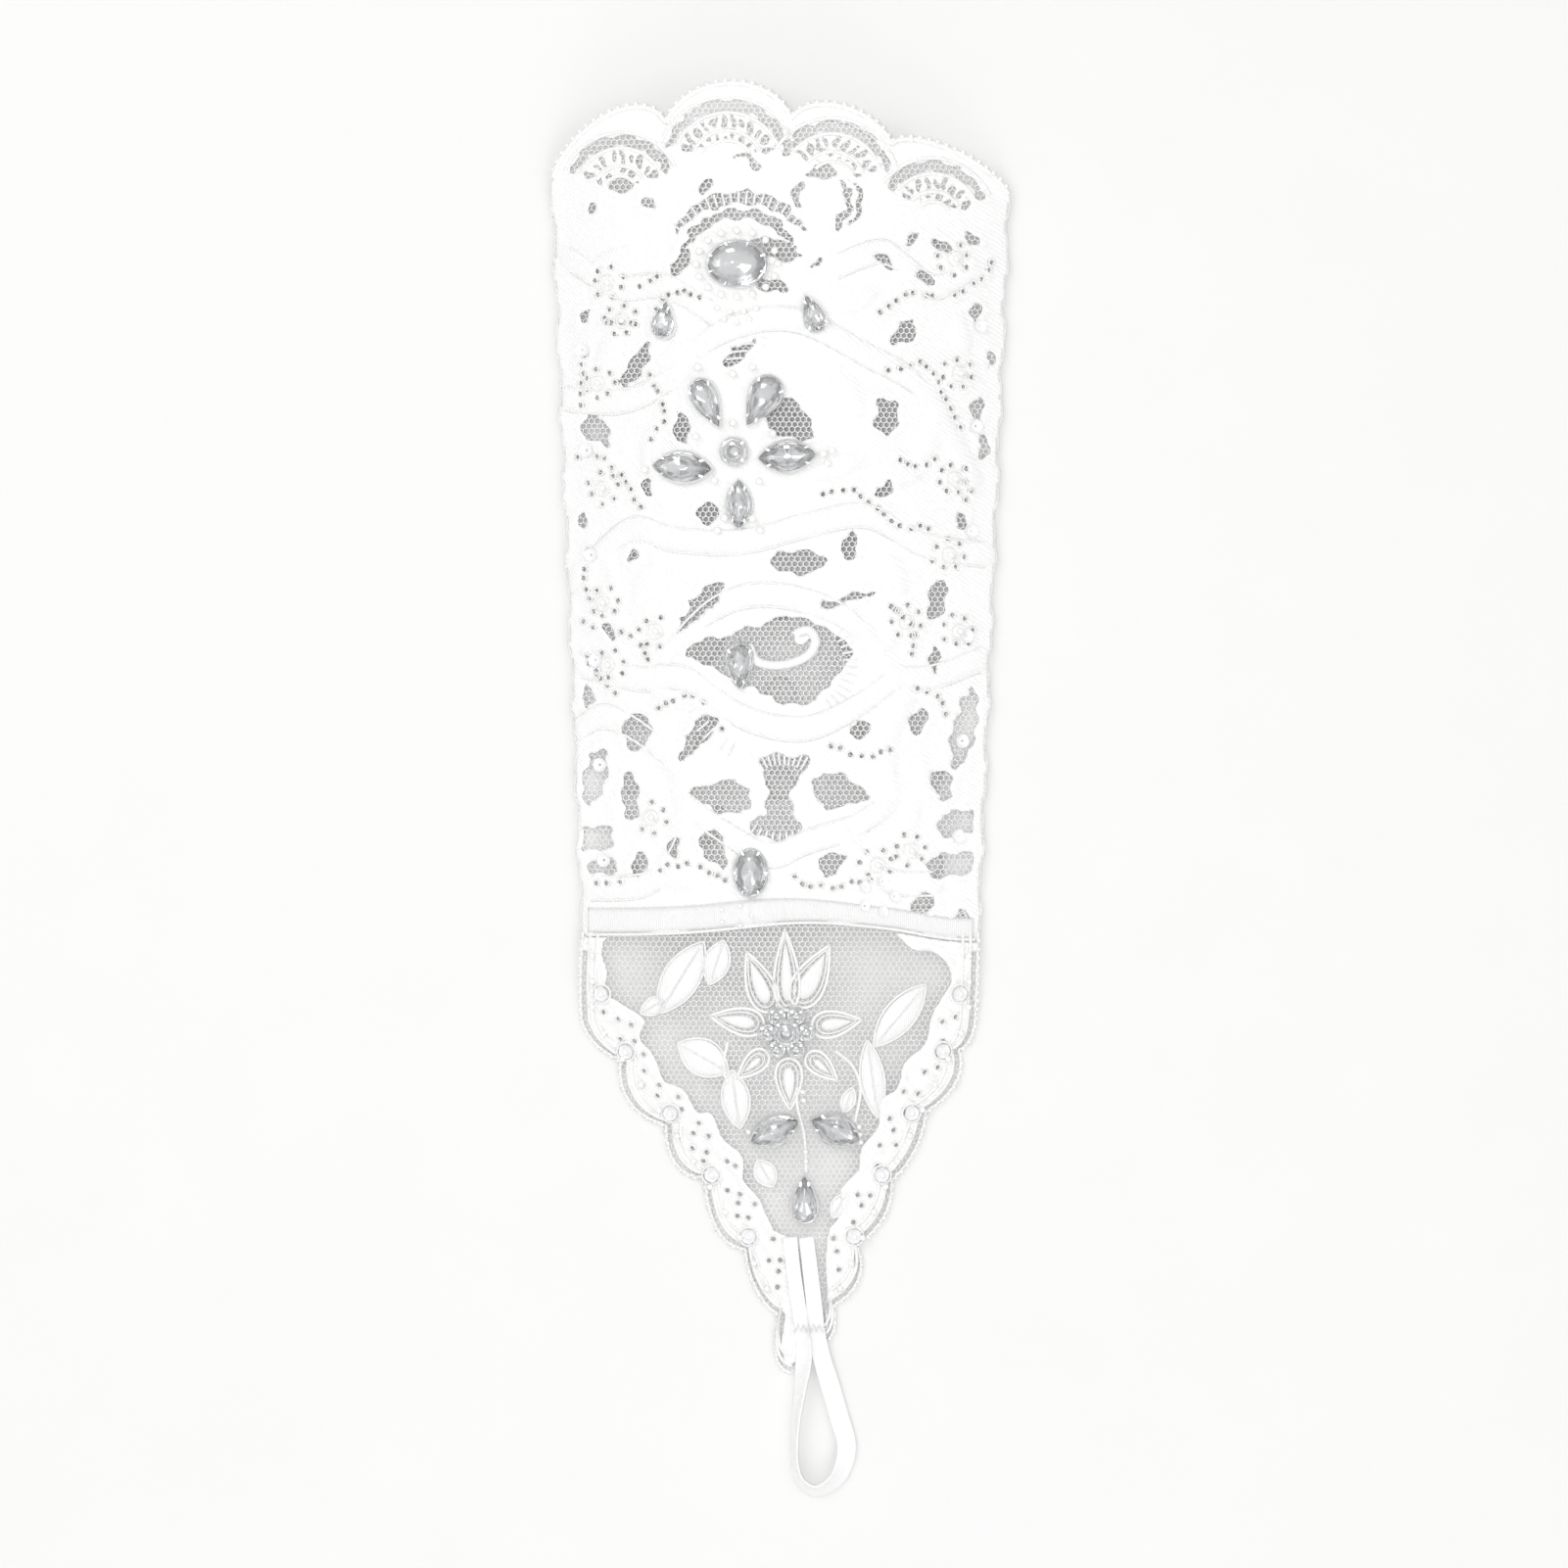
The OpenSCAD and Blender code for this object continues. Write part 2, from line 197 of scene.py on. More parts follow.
@dataclass(frozen=True)
class SmoothFinish:
    """A hard, smooth surface: glass, metal or plastic."""

    name: str
    slot: str
    shade: str
    light: str
    roughness: float
    metallic: float = 0.0
    transmission: float = 0.0
    ior: float = 1.5
    coat: float = 0.0
    grain: float = 900.0

    def build(self) -> bpy.types.Material:
        """Make the material.

        Returns:
            A Principled material whose polish varies a little over the surface.
        """
        s = Shader(self.name)
        place = s.add("ShaderNodeTexCoord").outputs["Object"]
        wear = s.add("ShaderNodeTexNoise", Vector=place, Scale=self.grain, Detail=2.0)
        polish = s.add(
            "ShaderNodeMapRange",
            Value=wear.outputs["Fac"],
            To_Min=self.roughness * 0.7,
            To_Max=self.roughness * 1.4,
        )
        s.fill(
            s.surface,
            Base_Color=s.ramp(wear.outputs["Fac"], self.shade, self.light),
            Roughness=polish.outputs["Result"],
            Metallic=self.metallic,
            Transmission_Weight=self.transmission,
            Coat_Weight=self.coat,
        )
        if not self.metallic:
            s.fill(s.surface, IOR=self.ior)
        return s.material


# Rayon embroidery packed on cotton tulle, bleached white: matt and softly ribbed, with no glare
LACE = ThreadFinish("Embroidered rayon on tulle", "lace_cloth", "#f8f8f7", "#fefefd", 0.75, 0.2, 0.5, 0.12, 0.3)
# Cotton bobbinet, the hexagon net under the embroidery: thin dry threads that read grey over shadow
NET = ThreadFinish("Cotton bobbinet tulle", "tulle_net", "#f8f8f8", "#fdfdfd", 0.7, 0.1, 0.3, 0.02, 0.2)
# Gimp, rayon wrapped round a cotton core: a raised line with a soft light along its back
GIMP = ThreadFinish("Rayon gimp cord", "gimp_cord", "#f6f6f4", "#fdfdfc", 0.5, 0.3, 0.45, 0.10, 0.3)
# Padded satin stitch in loose rayon floss: a broad silky light across the threads
SATIN = ThreadFinish(
    "Rayon satin stitch", "satin_stitch", "#f6f6f5", "#ffffff", 0.38, 0.4, 0.42, 0.10, 0.3, "X"
)
# Woven polyester satin ribbon: smooth, with one long sheen down its length
RIBBON = ThreadFinish(
    "Polyester satin ribbon", "satin_ribbon", "#f3f3f2", "#fbfbfb", 0.32, 0.3, 0.36, 0.03, 0.3, "Y"
)
# Machine-cut crystal glass: hard bright glints from facet to facet, and dark ones between
CRYSTAL = SmoothFinish(
    "Cut crystal glass", "rhinestone", "#fafbfc", "#ffffff", 0.01, transmission=0.88, ior=1.56
)
# Vacuum-silvered foil behind the crystal: sends the light back through the stone
FOIL = SmoothFinish("Silver foil backing", "silver_setting", "#f6f7f8", "#ffffff", 0.12, metallic=1.0)
# Stamped brass, silver plated: a pale bright rim round each stone
SILVER = SmoothFinish("Silver-plated brass", "silver_setting", "#ededee", "#fbfbfb", 0.3, metallic=1.0)
# Pearl-lustre glass, fire polished: a milky bead with one small highlight
BEAD = SmoothFinish("Lustred glass bead", "seed_bead", "#efeeec", "#fbfbfa", 0.12, coat=0.6, ior=1.52)
# Pearlised PVC, pressed to a cup: a cool pale disc with a glossy rim
SEQUIN = SmoothFinish("Pearlised PVC sequin", "sequin", "#e7e8ea", "#f6f6f8", 0.14, coat=0.8)


class Palette:
    """Builds each finish once."""

    def __init__(self) -> None:
        """Start with nothing built."""
        self._made: dict[str, bpy.types.Material] = {}

    def dress(self, obj: bpy.types.Object, finish: ThreadFinish | SmoothFinish) -> None:
        """Give a piece its material.

        Args:
            obj: The piece.
            finish: What it is made of.
        """
        if finish.name not in self._made:
            self._made[finish.name] = finish.build()
        obj.data.materials.clear()
        obj.data.materials.append(self._made[finish.name])


# ---------------------------------------------------------------- the glove's form


def mix(a: float, b: float, t: Grid | float) -> Grid | float:
    """Value between a and b, at t of the way."""
    return a + (b - a) * t


def smooth(t: Grid | float) -> Grid | float:
    """Ease from 0 to 1 with level ends; t is clamped."""
    c = np.clip(t, 0, 1)
    return c * c * (3 - 2 * c)


@dataclass(frozen=True)
class GloveForm:
    """The form of the upper lace as the glove lies: an arched sleeve, then a point down to the table."""

    elbow_w: float = 96.0
    wrist_w: float = 83.0
    elbow_y: float = 128.0
    wrist_y: float = -30.0
    shoulder_y: float = -47.0
    tip_y: float = -116.0
    tip_half: float = 4.6
    elbow_rise: float = 11.5
    wrist_rise: float = 6.8
    fold_z: float = 1.2
    valleys: tuple[Point, ...] = ((-1, 128.5), (-0.5, 139.5), (0.045, 140.3), (0.48, 135.5), (1, 125.5))
    crests: tuple[float, ...] = (8.5, 8.6, 5.8, 4.6)

    def taper(self, y: Grid | float) -> Grid | float:
        """How far down the point a station is: 0 at its shoulders, 1 at its tip."""
        return np.clip((self.shoulder_y - y) / (self.shoulder_y - self.tip_y), 0, 1)

    def half_width(self, y: Grid | float) -> Grid | float:
        """Half the lace's width.

        Args:
            y: Station along the glove.

        Returns:
            Half width.
        """
        sleeve = mix(self.wrist_w, self.elbow_w, (y - self.wrist_y) / (self.elbow_y - self.wrist_y)) / 2
        t = self.taper(y)
        point = mix(self.wrist_w / 2, self.tip_half, t) - 2 * np.sin(np.pi * t)
        return np.where(np.asarray(y) >= self.wrist_y, sleeve, point)

    def lean(self, y: Grid | float) -> Grid | float:
        """How far sideways the point's middle has leaned at a station."""
        return 5 * np.sin(np.pi / 2 * self.taper(y))

    def height(self, x: Grid | float, y: Grid | float) -> Grid | float:
        """Height of the underside of the upper lace.

        Args:
            x: Across the glove.
            y: Along the glove.

        Returns:
            Height above the table.
        """
        y = np.minimum(y, self.elbow_y)
        up = (y - self.wrist_y) / (self.elbow_y - self.wrist_y)
        down = (self.wrist_y - y) / (self.wrist_y - self.tip_y)
        rise = np.where(y >= self.wrist_y, mix(self.wrist_rise, self.elbow_rise, smooth(up)),
                        self.wrist_rise * (1 - smooth(down)))
        fold = np.where(y >= self.wrist_y, self.fold_z, self.fold_z * (1 - smooth((self.wrist_y - y) / 20)))
        u = (x - self.lean(y)) / self.half_width(y)
        return fold + rise * np.maximum(0, 1 - u * u)

    def tilt(self, x: float, y: float) -> tuple[float, float]:
        """Slope of the lace.

        Args:
            x: Across the glove.
            y: Along the glove.

        Returns:
            Rise per millimetre along X and along Y.
        """
        return (
            float(self.height(x + 0.5, y) - self.height(x - 0.5, y)),
            float(self.height(x, y + 0.5) - self.height(x, y - 0.5)),
        )

    def palm_edge(self, u: Grid) -> Grid:
        """The palm layer's elbow edge: the same scallops seen from behind, kept under the front's."""
        return np.minimum(self.elbow_edge(-u), self.elbow_edge(u) + 1) - 3

    def elbow_edge(self, u: Grid) -> Grid:
        """The scalloped elbow edge.

        Args:
            u: -1 at the left fold to 1 at the right.

        Returns:
            The edge's station along the glove.
        """
        out = np.zeros_like(u)
        for (a, b), crest in zip(zip(self.valleys, self.valleys[1:]), self.crests):
            t = np.clip((u - a[0]) / (b[0] - a[0]), 0, 1)
            arch = mix(a[1], b[1], t) + crest * np.maximum(0, 1 - (2 * t - 1) ** 2) ** 0.6
            out = np.where((u >= a[0]) & (u <= b[0]), arch, out)
        return out


FORM = GloveForm()


# ---------------------------------------------------------------- flat outlines


class Shape(Enum):
    """Outlines that openings, leaves and stones are cut to."""

    ROUND = "round"
    LENS = "lens"
    DROP = "drop"
    SLOT = "slot"
    WEDGE = "wedge"


@dataclass(frozen=True)
class Motif:
    """One outline in its place; a drop or wedge points along its turn."""

    x: float
    y: float
    length: float
    width: float
    turn: float = 0.0
    shape: Shape = Shape.LENS

    def centred(self) -> "Motif":
        """The same outline unturned about the origin."""
        return replace(self, x=0, y=0, turn=0)

    def outline(self, grow: float = 0.0, count: int = 28) -> Grid:
        """Points round the outline.

        Args:
            grow: Added to every half size.
            count: How many points.

        Returns:
            Array of points, counterclockwise.
        """
        a = np.linspace(0, 2 * np.pi, count, endpoint=False)
        c, s = np.cos(a), np.sin(a)
        l, w = self.length / 2 + grow, self.width / 2 + grow
        if self.shape is Shape.LENS:
            s = s * np.abs(s) ** 0.8
        elif self.shape is Shape.DROP:
            s = s * 1.12 * np.abs(np.sin(a / 2)) ** 1.1
        elif self.shape is Shape.SLOT:
            c, s = np.sign(c) * np.abs(c) ** 0.6, np.sign(s) * np.abs(s) ** 0.6
        elif self.shape is Shape.WEDGE:
            s = s * (0.75 - 0.45 * c)
        r = math.radians(self.turn)
        px, py = l * c, w * s
        cos, sin = math.cos(r), math.sin(r)
        return np.column_stack([self.x + px * cos - py * sin, self.y + px * sin + py * cos])


def motifs(table: Iterable[tuple]) -> tuple[Motif, ...]:
    """Outlines from rows of a table: x, y, length, width, turn and shape."""
    return tuple(Motif(*row) for row in table)


def spline(points: Sequence[Point], steps: int = 6, closed: bool = False) -> Grid:
    """A smooth line through points.

    Args:
        points: Where it passes.
        steps: Points made for each stretch.
        closed: Whether it returns to its start.

    Returns:
        Array of points.
    """
    p = np.array(points, float)
    n = len(p)
    out = []
    for i in range(n if closed else n - 1):
        ids = [k % n if closed else min(max(0, k), n - 1) for k in range(i - 1, i + 3)]
        a, b, c, d = p[ids]
        for k in range(steps):
            t = k / steps
            curve, twist = 2 * a - 5 * b + 4 * c - d, 3 * b - a - 3 * c + d
            out.append(0.5 * (2 * b + (c - a) * t + curve * t * t + twist * t**3))
    if not closed:
        out.append(p[-1])
    return np.array(out)


def paced(line: Grid, first: float, gap: float) -> Grid:
    """Points at equal steps along a line.

    Args:
        line: Points of the line.
        first: How far along the first one is.
        gap: Distance from each to the next.

    Returns:
        Array of points.
    """
    step = np.cumsum(np.r_[0, np.hypot(*np.diff(line, axis=0).T)])
    at = np.arange(first, step[-1], gap)
    return np.column_stack([np.interp(at, step, line[:, 0]), np.interp(at, step, line[:, 1])])


def around(x: float, y: float, wide: float, high: float, angles: Iterable[float]) -> list[Point]:
    """Places on an ellipse.

    Args:
        x: Its middle across the glove.
        y: Its middle along the glove.
        wide: Its radius across.
        high: Its radius along.
        angles: Where on it, in radians.

    Returns:
        The places.
    """
    return [(x + wide * math.cos(t), y + high * math.sin(t)) for t in angles]


def arc_band(cx: float, cy: float, r: float, width: float, start: float, end: float) -> Grid:
    """Outline of a curved band with tapered ends.

    Args:
        cx: Centre across the glove.
        cy: Centre along the glove.
        r: Radius of its middle line.
        width: Its width in the middle.
        start: First angle in degrees.
        end: Last angle in degrees.

    Returns:
        Array of points.
    """
    t = np.linspace(0, 1, 18)
    a = np.radians(mix(start, end, t))
    half = width / 2 * np.minimum(1, 0.35 + 3 * np.minimum(t, 1 - t))
    sides = [np.column_stack([cx + q * np.cos(a), cy + q * np.sin(a)]) for q in (r + half, r - half)]
    return np.vstack([sides[0], sides[1][::-1]])


def to_segment(x: Grid, y: Grid, a: Point, b: Point) -> Grid:
    """Distance of each place from the straight line between a and b."""
    dx, dy = b[0] - a[0], b[1] - a[1]
    t = np.clip(((x - a[0]) * dx + (y - a[1]) * dy) / max(1e-9, dx * dx + dy * dy), 0, 1)
    return np.hypot(x - a[0] - t * dx, y - a[1] - t * dy)


def inside(points: Grid, x: Grid, y: Grid, reach: float = 4.0) -> Grid:
    """How far inside an outline each place is.

    Args:
        points: The outline.
        x: Places across the glove.
        y: Places along the glove.
        reach: How far outside it still matters.

    Returns:
        Distance to the outline, positive inside and negative outside.
    """
    out = np.full(x.shape, -reach)
    (x0, y0), (x1, y1) = points.min(0) - reach, points.max(0) + reach
    near = (x >= x0) & (x <= x1) & (y >= y0) & (y <= y1)
    px, py = x[near], y[near]
    best = np.full(px.shape, 1e9)
    within = np.zeros(px.shape, bool)
    for (ax, ay), (bx, by) in zip(points, np.roll(points, -1, axis=0)):
        best = np.minimum(best, to_segment(px, py, (ax, ay), (bx, by)))
        if by != ay:
            within ^= ((ay > py) != (by > py)) & (px < ax + (py - ay) * (bx - ax) / (by - ay))
    out[near] = np.maximum(np.where(within, best, -best), -reach)
    return out


def away(line: Grid, x: Grid, y: Grid) -> Grid:
    """Distance from a line.

    Args:
        line: Points along it.
        x: Places across the glove.
        y: Places along the glove.

    Returns:
        Distance of each place.
    """
    return np.min([to_segment(x, y, a, b) for a, b in zip(line, line[1:])], axis=0)


# ---------------------------------------------------------------- making meshes


def deselect() -> None:
    """Clear the selection, so that an operator touches only what is picked next."""
    bpy.ops.object.select_all(action="DESELECT")


def pick(obj: bpy.types.Object) -> None:
    """Make one object the only one selected and active.

    Args:
        obj: The object.
    """
    deselect()
    obj.select_set(True)
    bpy.context.view_layer.objects.active = obj


def make(name: str, points: Grid, faces: Iterable[Sequence[int]], shaded: bool = True) -> bpy.types.Object:
    """Make a mesh object from millimetres.

    Args:
        name: The piece's name.
        points: Vertices in millimetres.
        faces: Vertex numbers of each face.
        shaded: Whether it is smooth shaded.

    Returns:
        The object, at the origin.
    """
    mesh = bpy.data.meshes.new(name)
    mesh.from_pydata((np.asarray(points, float) * MM).tolist(), [], [list(map(int, f)) for f in faces])
    mesh.validate()
    obj = bpy.data.objects.new(name, mesh)
    bpy.context.scene.collection.objects.link(obj)
    if shaded:
        mesh.shade_smooth()
    return obj


def apply_modifier(obj: bpy.types.Object, kind: str, **settings: object) -> None:
    """Add a modifier and apply it.

    Args:
        obj: The piece.
        kind: The modifier's type.
        **settings: Its properties.
    """
    pick(obj)
    modifier = obj.modifiers.new(kind.title(), kind)
    for key, value in settings.items():
        setattr(modifier, key, value)
    bpy.ops.object.modifier_apply(modifier=modifier.name)


def outward(obj: bpy.types.Object) -> None:
    """Point every normal out of its closed piece.

    Args:
        obj: The piece.
    """
    pick(obj)
    bpy.ops.object.mode_set(mode="EDIT")
    bpy.ops.mesh.select_all(action="SELECT")
    bpy.ops.mesh.normals_make_consistent(inside=False)
    bpy.ops.object.mode_set(mode="OBJECT")


CORNERS = ((0, 0), (0, 1), (1, 1), (1, 0))  # row and column steps round a cell


def cloth(
    name: str,
    box: tuple[float, float, float, float],
    step: float,
    solid: Callable[[Grid, Grid], Grid],
    top: Callable[[Grid, Grid, Grid], Grid],
    thickness: float,
) -> bpy.types.Object:
    """Cut a sheet of lace along the edges of its openings.

    Args:
        name: The piece's name.
        box: Lowest and highest x, then lowest and highest y.
        step: Size of the grid it is made on.
        solid: How far inside the stitched ground each place is; negative in an opening.
        top: Height of the lace's upper side, from x, y and that distance.
        thickness: How thick the lace is.

    Returns:
        The closed sheet.
    """
    xs = np.arange(box[0], box[1] + step, step)
    ys = np.arange(box[2], box[3] + step, step)
    ys[-1] = box[3] if box[3] - ys[-2] > 0.2 * step else ys[-1]
    gx, gy = np.meshgrid(xs, ys)
    f = solid(gx, gy)
    is_in = f >= 0
    number = np.full(f.shape, -1)
    number[is_in] = np.arange(is_in.sum())
    points = [np.column_stack([gx[is_in], gy[is_in], f[is_in]])]
    count = int(is_in.sum())

    def crossings(a: tuple, b: tuple) -> Grid:
        """Add a point wherever the edge passes between neighbours a and b, and number them."""
        nonlocal count
        cut = is_in[a] != is_in[b]
        t = np.clip(f[a][cut] / (f[a][cut] - f[b][cut]), 0.12, 0.88)
        ids = np.full(cut.shape, -1)
        ids[cut] = count + np.arange(cut.sum())
        count += int(cut.sum())
        points.append(np.column_stack([mix(gx[a][cut], gx[b][cut], t), mix(gy[a][cut], gy[b][cut], t), 0 * t]))
        return ids

    every = slice(None)
    along = crossings((every, slice(0, -1)), (every, slice(1, None)))
    up = crossings((slice(0, -1), every), (slice(1, None), every))
    rows, cols = f.shape[0] - 1, f.shape[1] - 1
    corner = [number[r : r + rows, c : c + cols] for r, c in CORNERS]
    edge = [along[:rows], up[:, 1:], along[1:], up[:, :cols]]
    mask = sum((is_in[r : r + rows, c : c + cols].astype(int) << k) for k, (r, c) in enumerate(CORNERS))
    faces: list[list[int]] = []
    for m in range(1, 16):
        cells = mask == m
        if not cells.any():
            continue
        ring = []
        for k in range(4):
            if m >> k & 1:
                ring.append(corner[k][cells])
            if (m >> k & 1) != (m >> ((k + 1) % 4) & 1):
                ring.append(edge[k][cells])
        faces += np.column_stack(ring).tolist()
    flat = np.vstack(points)
    z = top(flat[:, 0], flat[:, 1], flat[:, 2])
    obj = make(name, np.column_stack([flat[:, 0], flat[:, 1], z]), faces)
    apply_modifier(obj, "SOLIDIFY", thickness=thickness * MM, offset=-1.0)
    return obj


def tulle(
    name: str,
    box: tuple[float, float, float, float],
    pitch: float,
    thread: float,
    keep: Callable[[Grid, Grid], Grid],
    height: Callable[[Grid, Grid], Grid],
) -> bpy.types.Object:
    """Make hexagonal net wherever it is wanted.

    Args:
        name: The piece's name.
        box: Lowest and highest x, then lowest and highest y.
        pitch: Width of one mesh.
        thread: How thick the thread is.
        keep: Tells which meshes, by their centres, are made.
        height: Height of the net's middle.

    Returns:
        The net as closed threads.
    """
    row = pitch * math.sqrt(3) / 2
    j, i = np.mgrid[0 : int((box[3] - box[2]) / row) + 1, 0 : int((box[1] - box[0]) / pitch) + 1]
    cx, cy = (box[0] + pitch * (i + 0.5 * (j % 2))).ravel(), (box[2] + row * j).ravel()
    wanted = keep(cx, cy)
    cx, cy = cx[wanted], cy[wanted]
    a = np.radians(30 + 60 * np.arange(6))
    px = cx[:, None] + pitch / math.sqrt(3) * np.cos(a)
    py = cy[:, None] + pitch / math.sqrt(3) * np.sin(a)
    keys = np.round(np.column_stack([px.ravel(), py.ravel()]) / (pitch * 0.05)).astype(int)
    _, first, numbers = np.unique(keys, axis=0, return_index=True, return_inverse=True)
    x, y = px.ravel()[first], py.ravel()[first]
    obj = make(name, np.column_stack([x, y, height(x, y)]), numbers.reshape(-1, 6).tolist())
    apply_modifier(obj, "WIREFRAME", thickness=thread * MM, use_even_offset=False, use_boundary=True)
    return obj


def cords(
    name: str, lines: Sequence[Grid], radius: float, closed: bool = False, sides: int = 2
) -> bpy.types.Object:
    """Sweep round cords along lines.

    Args:
        name: The piece's name.
        lines: Points of each line, in millimetres.
        radius: The cords' radius.
        closed: Whether each line returns to its start.
        sides: Bevel resolution of the round.

    Returns:
        One mesh of closed cords.
    """
    data = bpy.data.curves.new(name, "CURVE")
    data.dimensions, data.bevel_depth, data.bevel_resolution = "3D", radius * MM, sides - 1
    data.use_fill_caps = True
    for line in lines:
        one = data.splines.new("POLY")
        one.points.add(len(line) - 1)
        one.points.foreach_set("co", np.column_stack([np.asarray(line) * MM, np.ones(len(line))]).ravel())
        one.use_cyclic_u = closed
    obj = bpy.data.objects.new(name, data)
    bpy.context.scene.collection.objects.link(obj)
    pick(obj)
    bpy.ops.object.convert(target="MESH")
    obj = bpy.context.active_object
    obj.data.shade_smooth()
    return obj


def on_lace(line: Grid, lift: float) -> Grid:
    """Lay a flat line on the lace, lifted above its underside."""
    return np.column_stack([line, FORM.height(line[:, 0], line[:, 1]) + lift])


@dataclass(frozen=True)
class Place:
    """Where a small piece is sewn: its middle on the lace, its turn and its lift above the lace."""

    x: float
    y: float
    lift: float = 0.7
    turn: float = 0.0
    scale: float = 1.0

    def move(self, points: Grid) -> Grid:
        """Set a flat-backed piece on the lace, tilted to lie along it.

        Args:
            points: The piece's own points, its back at height 0.

        Returns:
            The points in place.
        """
        r = math.radians(self.turn)
        sx, sy = FORM.tilt(self.x, self.y)
        normal = np.array([-sx, -sy, 1.0])
        normal /= np.linalg.norm(normal)
        e1 = np.cross([-math.sin(r), math.cos(r), 0.0], normal)
        e1 /= np.linalg.norm(e1)
        e2 = np.cross(normal, e1)
        base = np.array([self.x, self.y, float(FORM.height(self.x, self.y))]) + normal * self.lift
        p = points * self.scale
        return base + p[:, :1] * e1 + p[:, 1:2] * e2 + p[:, 2:3] * normal


def stack(rows: Sequence[tuple[Grid, float]]) -> Grid:
    """Points of flat rows, each at its own height."""
    return np.vstack([np.column_stack([row, np.full(len(row), z)]) for row, z in rows])


def quads(pairs: Iterable[tuple[int, int]], count: int, closed: bool = True) -> list[list[int]]:
    """Faces between pairs of rows.

    Args:
        pairs: Numbers of the two rows of each pair.
        count: Points in a row.
        closed: Whether each row returns to its start.

    Returns:
        Four vertex numbers for each face.
    """
    faces = []
    for a, b in pairs:
        for i in range(count if closed else count - 1):
            j = (i + 1) % count
            faces.append([a * count + i, a * count + j, b * count + j, b * count + i])
    return faces


def merged(parts: Sequence[Solid]) -> Solid:
    """Several closed parts as one."""
    starts = np.cumsum([0] + [len(p) for p, _ in parts])
    faces = [[v + s for v in f] for (_, fs), s in zip(parts, starts) for f in fs]
    return np.vstack([p for p, _ in parts]), faces


def lathe(profile: Sequence[Point], count: int) -> Solid:
    """Turn a closed profile about the upright axis.

    Args:
        profile: Radius and height of each corner, none of them on the axis.
        count: Steps round.

    Returns:
        Points and faces of the closed ring.
    """
    n = len(profile)
    a = np.linspace(0, 2 * np.pi, count, endpoint=False)
    points = np.array([[r * math.cos(t), r * math.sin(t), z] for t in a for r, z in profile])
    faces = [
        [i * n + k, ((i + 1) % count) * n + k, ((i + 1) % count) * n + (k + 1) % n, i * n + (k + 1) % n]
        for i in range(count)
        for k in range(n)
    ]
    return points, faces


def ball(radius: float, squash: float = 1.0) -> Solid:
    """A small ball of few faces, resting on height 0.

    Args:
        radius: Its radius.
        squash: Its height against its width.

    Returns:
        Points and faces.
    """
    bpy.ops.mesh.primitive_uv_sphere_add(segments=8, ring_count=5, radius=radius)
    obj = bpy.context.active_object
    points = np.array([v.co for v in obj.data.vertices]) * [1, 1, squash] + [0, 0, radius * squash]
    faces = [list(p.vertices) for p in obj.data.polygons]
    bpy.data.objects.remove(obj)
    return points, faces


def scatter(name: str, shape: Solid, places: Sequence[Place], shaded: bool = True) -> bpy.types.Object:
    """Sew one small shape on at many places.

    Args:
        name: The piece's name.
        shape: The small shape's points and faces.
        places: Where each goes.
        shaded: Whether it is smooth shaded.

    Returns:
        One mesh of separate closed pieces.
    """
    return make(name, *merged([(p.move(shape[0]), shape[1]) for p in places]), shaded)


def dome(motif: Motif, height: float, rings: int = 4, count: int = 28) -> Solid:
    """A padded shape: flat underneath and rounded on top.

    Args:
        motif: Its outline; its own place and turn are left to the Place that sets it.
        height: How high its middle stands.
        rings: Steps up the side.
        count: Points round it.

    Returns:
        Points and faces.
    """
    rim = motif.centred().outline(0, count)
    levels = [(1.0, 0.0)] + [(math.cos(t), math.sin(t)) for t in np.linspace(0.25, 1.35, rings)]
    points = stack([(rim * s, height * h) for s, h in levels])
    sides = quads([(k, k + 1) for k in range(rings)], count)
    return points, [list(range(count))[::-1], *sides, [rings * count + i for i in range(count)]]


def hoop(radius: float, thick: float, count: int = 10, sides: int = 5) -> Solid:
    """A ring of thread, resting on height 0.

    Args:
        radius: Radius of its middle line.
        thick: The thread's radius.
        count: Steps round the ring.
        sides: Steps round the thread.

    Returns:
        Points and faces.
    """
    turns = np.linspace(0, 2 * np.pi, sides, endpoint=False)
    return lathe([(radius + thick * math.cos(t), thick + thick * math.sin(t)) for t in turns], count)


# ---------------------------------------------------------------- the lace pattern

EYELET_R = 0.55
CORNER_PULL = 0.45  # how far a trim scallop swells past its corner
EYELET = hoop(0.72, 0.2)
ROSETTE = hoop(2.0, 0.24, 18)
L, D, S, W, R = Shape.LENS, Shape.DROP, Shape.SLOT, Shape.WEDGE, Shape.ROUND  # short names for the tables

